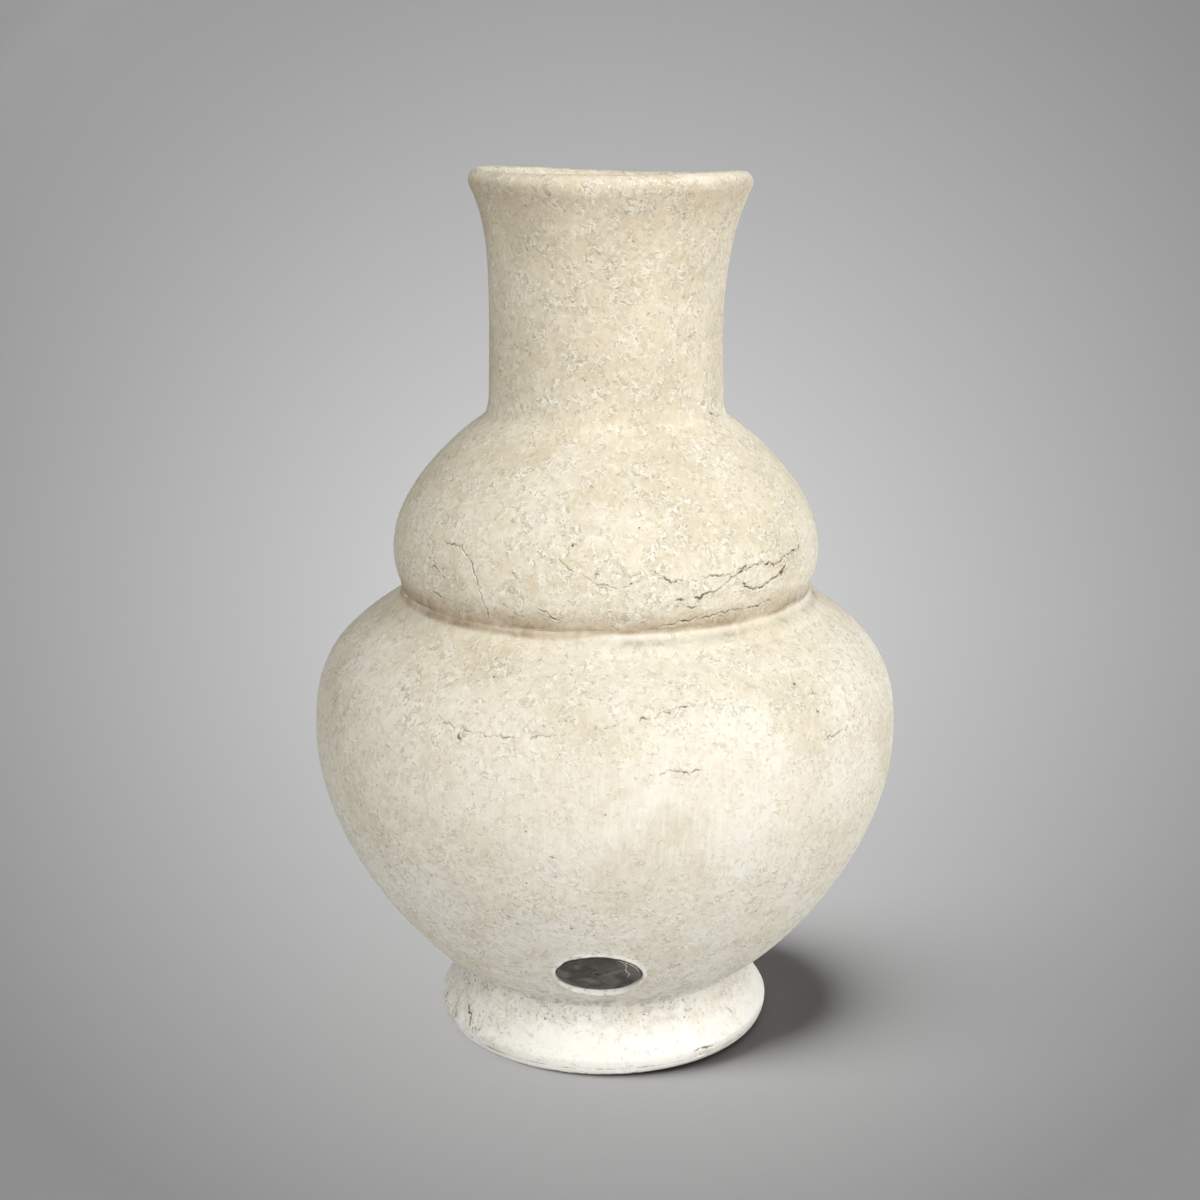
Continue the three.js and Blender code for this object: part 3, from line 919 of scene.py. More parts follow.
bulb_cracks = [
    crack([(-47, 254), (-40, 253), (-36, 248), (-33.5, 240), (-32, 229), (-31, 224)], 0.32, 0.7, 0.2, 0.45),
    crack([(-12, 254), (-10, 250), (-4, 245), (3, 240.5), (7, 243)], 0.3, 0.65, 0.22, 0.6),
    crack([(7, 243), (11, 248), (13, 246), (17, 243), (21, 242)], 0.27, 0.7, 0.22, 0.7),
    crack([(17, 234.5), (20, 234.5)], 0.5, 0.9, 0.2, 0),
    crack([(22, 235), (25, 236), (28, 237), (32, 241), (35, 244.5), (38, 246.5)], 0.38, 0.95, 0.25, 0.6),
    crack([(24, 244), (32, 243.5), (39, 245.5), (44, 246.5)], 0.32, 0.7, 0.22, 0.75),
    crack([(44, 245), (50, 244.5), (54, 247), (60, 246.5), (63, 249)], 0.4, 0.9, 0.25, 0.4),
    crack([(36, 239), (38, 236.5), (41, 235), (45, 236), (51, 240), (53, 243)], 0.46, 1.2, 0.3, 0.3),
    crack([(50.6, 239.5), (51.4, 239.5)], 1.1, 1.2, 0.2, 0),
    crack([(13, 222), (17, 224), (27, 225.5), (33, 227), (41, 226.5), (50, 228)], 0.34, 0.8, 0.28, 0.65),
    crack([(20, 231), (24, 231)], 0.36, 0.7, 0.2, 0.2),
    crack([(-24, 247), (-22, 243)], 0.32, 0.6, 0.2, 0.3),
    crack([(-17, 231), (-12, 225.5)], 0.32, 0.55, 0.25, 0.4),
    crack([(-71, 236), (-69, 234.5)], 0.55, 0.9, 0.2, 0),
    crack([(-51, 241), (-48.5, 242.5), (-46.5, 240)], 0.34, 0.7, 0.2, 0.3),
    crack([(-55, 228), (-50, 230.5), (-46, 229)], 0.26, 0.6, 0.2, 0.7),
    crack([(-45.5, 239), (-45, 238.5)], 0.6, 0.8, 0.15, 0),
    crack([(-47, 226), (-46.5, 226)], 0.45, 0.7, 0.1, 0),
    crack([(-34, 255), (-33.8, 255)], 0.45, 0.6, 0.1, 0),
    crack([(-9, 259), (-8.5, 258)], 0.4, 0.6, 0.1, 0),
    crack([(-34, 263), (-32, 264.5), (-30.5, 267), (-29.5, 271)], 0.6, -0.35, 0, 0.3),
    crack([(104, 238), (113, 243), (121, 240), (133, 244)], 0.34, 0.8, 0.22, 0.6),
    crack([(160, 228), (170, 231), (181, 229), (192, 233)], 0.34, 0.75, 0.22, 0.55),
    crack([(-122, 248), (-113, 244), (-104, 246)], 0.32, 0.65, 0.2, 0.6),
]
refine(bulb_mesh, np.vstack([follow(line, bulb_outline)[0] for line in bulb_cracks]), bulb_crack_reach)
smooth_bulb = press(bulb_mesh)
open_cracks(bulb_mesh, bulb_cracks, bulb_outline)
above_crease = smooth_bulb[:, 2] - bulb_low.z
uneven = np.clip(0.8 + 0.5 * wander(smooth_bulb, 25 * mm), 0, 1)
# Painted shade: the underside is stained browner towards the crease, partly a thin wash
wiped = np.clip(1 - (above_crease - wiped_and_shaded_height) / wiped_and_shaded_fade, 0, 1)**1.2
give_values(bulb_mesh, "stain", wiped_stain_and_shade * wiped * uneven)
shade_joints(bulb_mesh, [(neck_base_radius, bulb_high.z, neck_base_lean)])
put_in_place(bulb_mesh, vase_clay, "whitewashed_clay", "upper_body")


# Neck: a tube thrown with the bulb's mouth as its foot, flared and turned out by hand to a soft rolled
# lip that waves a little. Whitewash runs over the lip and ends inside, where the throwing rings show.
neck_row = 1.05 * mm
neck_fillet_radius = 54.8 * mm
neck_fillet_height = 11 * mm
neck_radius = 54.2 * mm
neck_narrow_height = 39 * mm
neck_height = 111.6 * mm
lip_radius = 65 * mm
lip_thickness = 9 * mm
lip_crown_height = 5.5 * mm
lip_wave = 1.1 * mm
lip_wave_peak = math.radians(162)
lip_lean = 0.6 * mm
lip_shift = 1.8 * mm
lip_roll_start = -32
lip_roll_end = 190
lip_roll_points = 60
lip_row = 0.8 * mm
lip_clean_height = 3 * mm
neck_inside_row = 2.6 * mm
neck_crack_reach = 1.6 * mm
neck_stain_fade = 30 * mm
neck_stain_all = 0.2
neck_stain_under_lip = 0.28
throwing_ring_pitch = 12 * mm
throwing_ring_depth = 0.35 * mm
washed_inside = 28 * mm
neck_top = neck_base[1] + neck_height
lip_centre = (lip_radius - lip_thickness / 2, neck_top - lip_crown_height)
lip_turn = np.radians(np.linspace(lip_roll_start, lip_roll_end, lip_roll_points))
lip_roll = np.stack([
    lip_centre[0] + lip_thickness / 2 * np.cos(lip_turn),
    lip_centre[1] + lip_crown_height * np.sin(lip_turn),
], 1)
neck_fillet = (neck_fillet_radius, neck_base[1] + neck_fillet_height)
neck_narrow = (neck_radius, neck_base[1] + neck_narrow_height)
neck_outline = chain(
    stretch(neck_base, neck_fillet, (0.6, 0.14), (1, 0.5)),
    stretch(neck_fillet, neck_narrow, (0.5, 0.33), (1, 0.66)),
    stretch(neck_narrow, lip_roll[0], (0, 0.43), (0.15, 0.72)),
)
neck_side = evenly(neck_outline, neck_row)
neck_inside = np.vstack([
    inset(evenly(neck_outline, neck_inside_row), wall)[::-1][2:-1],
    [(neck_base_radius - joint_width, neck_base[1])],
])
inside_wash = np.clip(1.5 - (neck_top - neck_inside[:, 1]) / washed_inside, 0, 1)
neck_mesh = throw("whitewashed_neck", np.vstack([
    rings(neck_side, 1, 1, first=neck_base_lean)[:-1],
    rings(evenly(lip_roll, lip_row), 1, 1),
    rings(neck_inside, inside_wash, 0.4),
]))
neck_cracks = [
    crack([(21, 340), (21.3, 340)], 0.5, 0.7, 0.1, 0),
    crack([(-37, 399), (-36, 398)], 0.35, 0.5, 0.1, 0),
    crack([(20, 376), (20.3, 376)], 0.35, 0.5, 0.1, 0),
    crack([(56, 306), (62, 304), (68, 303)], 0.4, 0.25, 0.1, 0.5),
    crack([(166, 352), (166.4, 352)], 0.45, 0.6, 0.1, 0),
]
refine(neck_mesh, np.vstack([follow(line, neck_outline)[0] for line in neck_cracks]), neck_crack_reach)
smooth_neck = press(neck_mesh)
open_cracks(neck_mesh, neck_cracks, neck_outline)
to_lip = eased(np.clip((smooth_neck[:, 2] - neck_narrow[1]) / (lip_centre[1] - neck_narrow[1]), 0, 1))
on_lip = np.clip((smooth_neck[:, 2] - lip_centre[1]) / lip_clean_height, 0, 1)
off_bulb = np.clip((smooth_neck[:, 2] - neck_base[1]) / neck_stain_fade, 0, 1)
neck_stain = (neck_stain_all * off_bulb + neck_stain_under_lip * to_lip**3) * (1 - on_lip)
neck_stain *= 1 + 0.7 * wander(smooth_neck, 22 * mm)
give_values(neck_mesh, "stain", np.clip(neck_stain, 0, 1))
neck_places = read_places(neck_mesh)
neck_turn = np.arctan2(neck_places[:, 1], neck_places[:, 0])
inside = np.hypot(smooth_neck[:, 0], smooth_neck[:, 1]) < neck_radius - wall / 2
inside &= (smooth_neck[:, 2] > neck_base[1] + throwing_ring_pitch)
inside &= (smooth_neck[:, 2] < neck_top - 2 * throwing_ring_pitch)
spiral = np.cos(2 * math.pi * neck_places[:, 2] / throwing_ring_pitch + neck_turn)
neck_places += read_values(neck_mesh, "outward") * (inside * throwing_ring_depth * spiral)[:, None]
wave = lip_wave * np.cos(2 * (neck_turn - lip_wave_peak)) - lip_lean * np.cos(neck_turn)
neck_places[:, 0] += to_lip * lip_shift
neck_places[:, 2] += to_lip * wave
set_places(neck_mesh, neck_places)
shade_joints(neck_mesh, [(neck_base_radius, neck_base[1], neck_base_lean)])
put_in_place(neck_mesh, vase_clay, "whitewashed_clay", "neck")


# Seam: a coil of soft clay pressed into the crease and wiped smooth with a wet finger. It is brown under
# the bulb, partly wiped thin and partly painted shade there, and a dark line of painted shade runs in its
# groove under the bulb. Round the right of the front it was left thicker, as a low ledge.
seam_reach = 8 * mm
seam_rise = 5.5 * mm
seam_rows = 40
seam_back_rows = 8
seam_overlap = 0.55 * mm
seam_fill = 0.1
ledge_height = 0.9 * mm
ledge_reach = 2.5 * mm
ledge_start = math.radians(2)
ledge_end = math.radians(112)
ledge_fade = math.radians(16)

# On the coil's face, places, widths and fades are shares of the way up. Its length from edge to edge, the
# sink of its edges and the heights and depths on it are in millimetres
face_length = 13
edge_sink = 0.07
ledge_foot = 0.13
ledge_top = 0.62
ledge_slope = 0.3
fold_place = 0.64
fold_sway = 0.03
fold_width = 0.05
fold_height = 0.34
line_place = 0.78
line_sway = 0.02
line_width = 0.035
line_most = 0.22
line_less_on_ledge = 0.16
trough_place = 0.4
trough_width = 0.17
brown_place = 0.66
brown_lower_off_ledge = 0.3
brown_fade = 0.14
brown_most = 1.05
seam_turn = np.linspace(0, 2 * math.pi, columns, endpoint=False)
from_badge = (seam_turn + math.pi / 2 + math.pi) % (2 * math.pi) - math.pi


def between(values, start, end, fade):
    """1 between start and end, and 0 a fade outside them"""
    rising = np.clip((values - start) / fade + 1, 0, 1)
    falling = np.clip((end - values) / fade + 1, 0, 1)
    return eased(rising * falling)


def on_outline(outline, axis, values):
    """Where an outline reaches the given radii (axis 0) or heights (axis 1), with its direction there"""
    order = np.argsort(outline[:, axis], kind="stable")
    along = np.gradient(outline, axis=0)
    along /= np.linalg.norm(along, axis=1)[:, None]
    pick = [np.interp(values, outline[order, axis], part[order]) for part in (*outline.T, *along.T)]
    return np.stack(pick[:2], 1), np.stack(pick[2:], 1)


ledge = between(from_badge, ledge_start, ledge_end, ledge_fade)
circle = np.stack([np.cos(seam_turn), np.sin(seam_turn), np.zeros(columns)], 1) * crease_radius
seam_sway = wander(circle, 24 * mm)
shoulder = belly_outline[belly_outline[:, 1] > belly_widest[1]]
lower_reach = seam_reach + ledge * ledge_reach + seam_sway * mm
lower, lower_lean = on_outline(shoulder, 0, crease_radius + lower_reach)
upper, upper_lean = on_outline(bulb_outline, 1, crease[1] + seam_rise + seam_sway * 0.7 * mm)
t = np.linspace(0, 1, seam_rows + 1)[:, None, None]
middle = np.array(crease) * (1 - seam_fill) + (lower + upper) / 2 * seam_fill
face = (1 - t)**2 * lower + 2 * t * (1 - t) * middle + t**2 * upper
face_lean = 2 * (1 - t) * (middle - lower) + 2 * t * (upper - middle)
face_lean /= np.linalg.norm(face_lean, axis=2)[:, :, None]
face_out = np.stack([face_lean[:, :, 1], -face_lean[:, :, 0]], 2)
plateau = eased(np.clip(t / ledge_foot, 0, 1) * np.clip((ledge_top - t) / ledge_slope, 0, 1))
face += face_out * plateau * (ledge * ledge_height)[None, :, None]
fold_share = fold_place + fold_sway * seam_sway[None, :, None]
fold_swell = (0.7 + 0.5 * wander(circle, 14 * mm))[None, :, None]
fold_rise = np.exp(-((t - fold_share) / fold_width)**2) * fold_swell
line_share = line_place + line_sway * seam_sway[None, :, None]
line_cut = np.exp(-((t - line_share) / line_width)**2)
line_depth = (line_most - line_less_on_ledge * ledge)[None, :, None]
face += face_out * (fold_height * fold_rise - line_depth * line_cut) * mm
face[[0, -1]] -= face_out[[0, -1]] * edge_sink * mm
back_share = np.linspace(0, 1, seam_back_rows + 2)[1:-1]
back = []
back_out = []
for share in back_share:
    on_bulb = share < 0.5
    if on_bulb:
        place, lean = on_outline(bulb_outline, 1, upper[:, 1] + (crease[1] - upper[:, 1]) * 2 * share)
    else:
        place, lean = on_outline(shoulder, 0, crease_radius + lower_reach * (2 * share - 1))
    out = np.stack([lean[:, 1], -lean[:, 0]], 1)
    back.append(place - out * seam_overlap)
    back_out.append(out)
seam_grid = np.concatenate([face, np.array(back)])
seam_out = np.concatenate([face_out, np.array(back_out)])


def swept(name, grid, outward):
    """A closed ring mesh from a grid of (radius, height), one column for each turn"""
    rows = len(grid)
    cosine = np.cos(seam_turn)
    sine = np.sin(seam_turn)
    places = np.stack([grid[:, :, 0] * cosine, grid[:, :, 0] * sine, grid[:, :, 1]], 2)
    facing_out = np.stack([outward[:, :, 0] * cosine, outward[:, :, 0] * sine, outward[:, :, 1]], 2)
    mesh = bpy.data.meshes.new(name)
    mesh.from_pydata(places.reshape(-1, 3), [], ring_faces(rows, columns, True))
    give_values(mesh, "outward", facing_out.reshape(-1, 3))
    give_values(mesh, "wash", np.ones(rows * columns))
    give_values(mesh, "give", np.ones(rows * columns))
    return mesh


seam_mesh = swept("whitewashed_seam", seam_grid, seam_out)
smooth_seam = press(seam_mesh)
seam_mesh.shade_smooth()
seam_normals = np.zeros((len(seam_mesh.vertices), 3))
for row, lean in ((0, lower_lean), (seam_rows, upper_lean)):
    ring = slice(row * columns, (row + 1) * columns)
    outward = read_values(seam_mesh, "outward")[ring]
    seam_normals[ring] = joint_normals(smooth_seam[ring], outward, lean)
seam_mesh.normals_split_custom_set_from_vertices(seam_normals.tolist())
row_share = np.concatenate([np.linspace(0, 1, seam_rows + 1), np.zeros(seam_back_rows)])[:, None]
ledges = np.tile(ledge, len(row_share))
rows_up = np.repeat(row_share.ravel(), columns)
uneven = np.clip(0.8 + 0.7 * wander(smooth_seam, 13 * mm), 0, 1.3)
# Painted shade: the upper rows, under the bulb, are browned, partly a thin wash
brown_from = brown_place - brown_lower_off_ledge * (1 - ledges)
browned = brown_most * np.clip((rows_up - brown_from) / brown_fade, 0, 1) * uneven
trough = np.exp(-((rows_up - trough_place) / trough_width)**2) * (0.15 + 0.4 * ledges)
give_values(seam_mesh, "stain", np.clip(browned, 0, 1.2))
give_values(seam_mesh, "greyed_and_shaded", np.clip(trough * uneven, 0, 0.8))
give_values(seam_mesh, "brushed", np.clip(0.25 + 1.3 * rows_up, 0, 1))
# Painted shade: a dark line drawn in the groove along the top of the coil, under the bulb
on_front = row_share > 0
above_line = (row_share - line_place - line_sway * seam_sway) * face_length
painted_shade_line_open = np.clip(0.06 + 0.3 * wander(circle + 5, 7 * mm), 0, 0.22) * (1 - 0.8 * ledge) * on_front
give_values(seam_mesh, "crack_side", above_line.ravel())
give_values(seam_mesh, "crack_open", painted_shade_line_open.ravel())
put_in_place(seam_mesh, washed_clay("wiped_clay", streaks=0.0), "whitewashed_clay", "crease_seam")


# Badge: a stamped round plate of dark, aged metal, sunk in the pocket on a pat of glue. Its face is bare
# but for a small dimple. Its edge is rubbed lighter, and a thread of dried slip crosses its right side.
badge_bevel = 0.5 * mm
badge_dimple_radius = 2.6 * mm
badge_dimple_depth = 0.7 * mm
badge_dish = 0.25 * mm
badge_dish_share = 0.55
badge_dish_bend = 4 * mm
dimple_floor_share = 0.6
dimple_edge = 0.4 * mm
dimple_bend = 0.7 * mm
badge_columns = 180
badge_row = 0.35 * mm


def rounded(corner, before, after, size, steps=5):
    """A corner of an outline, rounded over a size on both sides"""
    corner, before, after = (np.array(point, float) for point in (corner, before, after))
    start = corner + (before - corner) / np.linalg.norm(before - corner) * size
    end = corner + (after - corner) / np.linalg.norm(after - corner) * size
    t = np.linspace(0, 1, steps + 1)[:, None]
    return (1 - t)**2 * start + 2 * t * (1 - t) * corner + t**2 * end


def rounded_outline(corners, sizes):
    """An outline with each inner corner rounded by its size"""
    middle = [
        rounded(corners[i], corners[i - 1], corners[i + 1], sizes[i - 1])
        for i in range(1, len(corners) - 1)
    ]
    return np.vstack([corners[:1], *middle, corners[-1:]])


badge_corners = np.array([
    (0, 0),
    (badge_radius, 0),
    (badge_radius, badge_thickness),
    (badge_dish_share * badge_radius, badge_thickness - badge_dish),
    (badge_dimple_radius, badge_thickness - badge_dish),
    (dimple_floor_share * badge_dimple_radius, badge_thickness - badge_dimple_depth),
    (0, badge_thickness - badge_dimple_depth),
])
badge_roundings = [badge_bevel, badge_bevel, badge_dish_bend, dimple_edge, dimple_bend]
badge_outline = rounded_outline(badge_corners, badge_roundings)
badge_mesh = throw("dark_metal_badge", rings(evenly(badge_outline, badge_row), 0, 1), badge_columns)
badge_places = read_places(badge_mesh)
from_middle = np.hypot(badge_places[:, 0], badge_places[:, 1])
on_face = badge_places[:, 2] > badge_thickness / 2
dents = 0.05 * mm * wander(badge_places, 5 * mm) + 0.018 * mm * wander(badge_places + 1, 1.6 * mm)
badge_places[:, 2] += dents * on_face
rubbed = 0.5 * np.exp(-((from_middle - badge_radius + 0.3 * mm) / (0.45 * mm))**2)
rubbed += 0.8 * np.exp(-((from_middle - badge_dimple_radius) / (0.35 * mm))**2)
set_places(badge_mesh, badge_places)
badge_mesh.transform(badge_seat)
give_values(badge_mesh, "rubbed", rubbed * on_face)
badge_mesh.shade_smooth()


def tarnish_group():
    """Aged metal: a dark skin with lighter clouds and fine scratches, worn off where it is rubbed"""
    group, given, result = new_group(
        "tarnish",
        {
            "Metal": ("Color", colour(132, 127, 116)),
            "Skin": ("Color", colour(50, 48, 43)),
            "Dust": ("Color", colour(168, 160, 142)),
            "Rubbed": ("Float", 0.0),
        },
        {"Colour": "Color", "Roughness": "Float", "Height": "Float", "Metalness": "Float"},
    )
    place = add(group, "TexCoord").outputs["Object"]
    cloud = ramp(group, grain(group, place, 90, 4.0, 0.8), 0.4, 0.62)
    speck = ramp(group, grain(group, place, 1100, 2.0), 0.6, 0.72)
    slant = add(group, "Mapping", {"Vector": place, "Rotation": (0.3, 0.5, 0.2),
                                   "Scale": (1.0, 0.06, 1.0)}).outputs[0]
    scratch = ramp(group, grain(group, slant, 1500, 2.0, 0.2), 0.66, 0.74)
    worn = calc(group, "MULTIPLY", given["Rubbed"], calc(group, "MULTIPLY_ADD", cloud, 0.5, 0.5))
    bared = calc(group, "MAXIMUM", worn, calc(group, "MULTIPLY", scratch, 0.4))
    skin = tint(group, calc(group, "MULTIPLY", cloud, 0.35), given["Skin"], given["Metal"])
    metal = tint(group, bared, skin, given["Metal"])
    dusty = calc(group, "MULTIPLY", calc(group, "SUBTRACT", 1.0, cloud), speck)
    dusty = calc(group, "MULTIPLY", dusty, 0.25)
    group.links.new(tint(group, dusty, metal, given["Dust"]), result["Colour"])
    dull = calc(group, "MULTIPLY_ADD", cloud, -0.12, 0.5)
    group.links.new(calc(group, "MULTIPLY_ADD", dusty, 0.4, dull), result["Roughness"])
    height = calc(group, "MULTIPLY_ADD", scratch, -0.02, calc(group, "MULTIPLY", cloud, 0.03))
    group.links.new(height, result["Height"])
    shine = calc(group, "MULTIPLY_ADD", bared, 0.4, 0.55)
    group.links.new(calc(group, "SUBTRACT", shine, dusty), result["Metalness"])
    return group


badge_metal = bpy.data.materials.new("aged_badge_metal")
badge_metal.use_nodes = True
badge_tree = badge_metal.node_tree
badge_tree.nodes.clear()
rubbed_here = add(badge_tree, "Attribute", attribute_name="rubbed").outputs["Fac"]
tarnish = add(badge_tree, "Group", {"Rubbed": rubbed_here}, node_tree=tarnish_group())
badge_bump = add(badge_tree, "Bump", {"Height": tarnish.outputs["Height"], "Distance": mm})
badge_shader = add(badge_tree, "BsdfPrincipled", {
    "Base Color": tarnish.outputs["Colour"],
    "Roughness": tarnish.outputs["Roughness"],
    "Metallic": tarnish.outputs["Metalness"],
    "Normal": badge_bump.outputs["Normal"],
})
add(badge_tree, "OutputMaterial", {"Surface": badge_shader.outputs["BSDF"]})
put_in_place(badge_mesh, badge_metal, "badge_metal", "badge_disc")


# Glue: a pat of set, yellowish glue between the badge's back and the pocket's floor. It was pressed flat
# when the badge went in, and its edge crept out in lobes.
glue_edge = 0.3 * mm
glue_row = 0.5 * mm
glue_columns = 96
glue_lobe = 0.7 * mm
glue_outline = rounded_outline(np.array([
    (0, 0),
    (glue_radius, 0),
    (glue_radius, glue_thickness),
    (0, glue_thickness),
]), [glue_edge, glue_edge])
glue_mesh = throw("glue_pat", rings(evenly(glue_outline, glue_row), 0, 1), glue_columns)
glue_places = read_places(glue_mesh)
from_middle = np.hypot(glue_places[:, 0], glue_places[:, 1])
lobes = glue_lobe * wander(glue_places * (1, 1, 0), 5 * mm) * (from_middle / glue_radius)**4
glue_places[:, :2] *= (1 + lobes / np.maximum(from_middle, mm))[:, None]
set_places(glue_mesh, glue_places)
glue_mesh.transform(glue_seat)
glue_mesh.shade_smooth()
glue_set = bpy.data.materials.new("set_glue")
glue_set.use_nodes = True
glue_tree = glue_set.node_tree
glue_shader = glue_tree.nodes["Principled BSDF"]
glue_cloud = grain(glue_tree, add(glue_tree, "TexCoord").outputs["Object"], 400, 3.0, 0.6)
glue_share = ramp(glue_tree, glue_cloud, 0.35, 0.65)
glue_colour = tint(glue_tree, glue_share, colour(196, 178, 138), colour(222, 210, 176))
glue_tree.links.new(glue_colour, glue_shader.inputs["Base Color"])
glue_rough = calc(glue_tree, "MULTIPLY_ADD", glue_cloud, 0.3, 0.35)
glue_tree.links.new(glue_rough, glue_shader.inputs["Roughness"])
put_in_place(glue_mesh, glue_set, "glue", "badge_glue")


# Slip: three threads of runny grey clay that dried on the badge, on its right side and along its edge.
# Nothing else holds them.
def thread(name, way, thickness, steps=70, sides=10):
    """A tapered, flattened thread of clay along points across and up the badge's face, in millimetres"""
    way = np.array(way, float) * mm
    along = np.concatenate([[0], np.cumsum(np.linalg.norm(np.diff(way, axis=0), axis=1))])
    place = np.linspace(0, along[-1], steps)
    knots = np.stack([np.interp(place, along, way[:, 0]), np.interp(place, along, way[:, 1])], 1)
    for _ in range(6):
        knots[1:-1] = (knots[:-2] + 2 * knots[1:-1] + knots[2:]) / 4
    path = np.column_stack([knots, np.zeros(steps)])
    path[:, :2] += 0.35 * mm * np.stack([wander(path, 2.5 * mm), wander(path + 1, 2.5 * mm)], 1)
    aim = np.gradient(path, axis=0)
    aim /= np.linalg.norm(aim, axis=1)[:, None]
    beside = np.stack([-aim[:, 1], aim[:, 0], np.zeros(steps)], 1)
    ends = np.minimum(np.arange(steps), steps - 1 - np.arange(steps)) / steps
    thick = thickness * mm * np.clip(0.15 + 6 * ends, 0, 1) * (1 + 0.45 * wander(path, 1.4 * mm))
    turn = np.linspace(0, 2 * math.pi, sides, endpoint=False)
    ring = beside[:, None] * np.cos(turn)[:, None] + np.array([0, 0, 0.5]) * np.sin(turn)[:, None]
    places = path[:, None] + ring * thick[:, None, None]
    faces = ring_faces(steps, sides, False)
    faces += [list(range(sides))[::-1], list(range((steps - 1) * sides, steps * sides))]
    mesh = bpy.data.meshes.new(name)
    mesh.from_pydata(places.reshape(-1, 3), [], faces)
    return mesh


slip_threads = [
    ([(10.5, 14.6), (12.4, 10.5), (11.6, 6), (13.6, 1), (12.6, -3.5)], 0.28),
    ([(7.6, 17.1), (12.6, 13.9), (16.3, 9.1), (18.1, 3.6)], 0.42),
    ([(17.9, -5.3), (16.4, -8.6), (13.2, -13.1)], 0.36),
]
slip = bmesh.new()
for way, thickness in slip_threads:
    slip.from_mesh(thread("slip_thread", way, thickness))
slip_mesh = bpy.data.meshes.new("dried_slip")
slip.to_mesh(slip_mesh)
slip.free()
slip_mesh.transform(Matrix.Translation((0, 0, badge_thickness - 0.3 * badge_dish)))
slip_mesh.transform(badge_seat)
slip_mesh.shade_smooth()
give_values(slip_mesh, "wash", np.ones(len(slip_mesh.vertices)))
slip_clay = washed_clay("dried_slip", fresh=colour(182, 174, 156), aged=colour(140, 132, 116), relief=0.5)
put_in_place(slip_mesh, slip_clay, "whitewashed_clay")


# Felt pads: four small discs of pressed wool felt stuck under the foot. Their rims are fuzzy and their
# undersides are pressed nearly flat by the vase.
pad_columns = 120
pad_row = 0.3 * mm
pad_lower_edge = 0.4 * mm
pad_upper_edge = 0.25 * mm
pad_fuzz = 0.14 * mm
pad_lumps = 0.08 * mm
pad_give = 0.05 * mm


def felt_material():
    """Dark wool hairs with paler tufts and a faint sheen"""
    felt = bpy.data.materials.new("pressed_felt")
    felt.use_nodes = True
    tree = felt.node_tree
    shader = tree.nodes["Principled BSDF"]
    place = add(tree, "TexCoord").outputs["Object"]
    hairs = grain(tree, place, 2600, 3.0, 2.0)
    mottle = grain(tree, place, 500, 2.0, 0.5)
    shade = tint(tree, ramp(tree, hairs, 0.35, 0.7), colour(56, 52, 48), colour(98, 92, 85))
    pale = calc(tree, "MULTIPLY", ramp(tree, mottle, 0.5, 0.7), 0.3)
    mixed = tint(tree, pale, shade, colour(122, 115, 106))
    bump = add(tree, "Bump", {"Height": hairs, "Distance": 0.15 * mm, "Strength": 1.0})
    tree.links.new(mixed, shader.inputs["Base Color"])
    tree.links.new(bump.outputs["Normal"], shader.inputs["Normal"])
    tree.links.new(calc(tree, "MULTIPLY_ADD", hairs, 0.1, 0.88), shader.inputs["Roughness"])
    shader.inputs["Sheen Weight"].default_value = 0.4
    shader.inputs["Sheen Roughness"].default_value = 0.6
    return felt


felt = felt_material()
for number in range(1, 5):
    pad_low, pad_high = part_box(f"felt_pad_{number}")
    pad_radius = (pad_high.x - pad_low.x) / 2
    pad_outline = rounded_outline(np.array([
        (0, pad_low.z),
        (pad_radius, pad_low.z),
        (pad_radius, pad_high.z),
        (0, pad_high.z),
    ]), [pad_lower_edge, pad_upper_edge])
    pad_mesh = throw(f"felt_foot_pad_{number}", rings(evenly(pad_outline, pad_row), 0, 1), pad_columns)
    pad_places = read_places(pad_mesh)
    rim_share = (np.hypot(pad_places[:, 0], pad_places[:, 1]) / pad_radius)**6
    fuzz = pad_fuzz * wander(pad_places + number, 0.55 * mm)
    fuzz += pad_lumps * wander(pad_places + number, 2 * mm)
    side_on = read_values(pad_mesh, "outward") * (1, 1, 0)
    pad_places += side_on * (fuzz * rim_share)[:, None]
    pressed = pad_give * (1 + wander(pad_places + number, 1.8 * mm))
    pad_places[:, 2] += pressed * (pad_places[:, 2] < pad_high.z / 2)
    pad_middle = (pad_low + pad_high) / 2
    pad_places += (pad_middle.x, pad_middle.y, 0)
    set_places(pad_mesh, pad_places)
    pad_mesh.shade_smooth()
    put_in_place(pad_mesh, felt, "felt", f"felt_pad_{number}")


# Floor: one seamless sweep of pale grey paper that rises all round the vase. Its tone is a painted pool
# of light that widens away from the front, painted lighter where the paper faces away from the floor lamp
# to cancel that lamp's shading. The camera and the metal's reflections see that tone, also where the paper
# faces away from the lamp, where it glows as painted light. Light that bounces softly off it sees an
# even grey.
paper_drop = 0.1 * mm
paper_row = 0.1
paper_columns = 128
floor_flat = 0.9
floor_rim = 2.6
floor_rise = 1.5
pool_start = 0.85
pool_height = 0.43
pool_slope = 0.275
pool_tone = 0.62
pool_fade = 0.48
least_tone = 0.4
tone_power = 2.2
least_ahead = 0.3
skylight_share = 0.13
least_facing = 0.3
glow_level = 1.1
bounced_tone = (0.28, 0.28, 0.28, 1)
to_floor_lamp = (-2.5, -0.52, 1.0)
floor_turn = np.linspace(0, math.pi / 2, 24)
floor_curve = np.stack([
    floor_flat + (floor_rim - floor_flat) * np.sin(floor_turn),
    floor_rise * (1 - np.cos(floor_turn)) - paper_drop,
], 1)
floor_flat_part = evenly(np.array([(0, -paper_drop), (floor_flat, -paper_drop)]), paper_row)
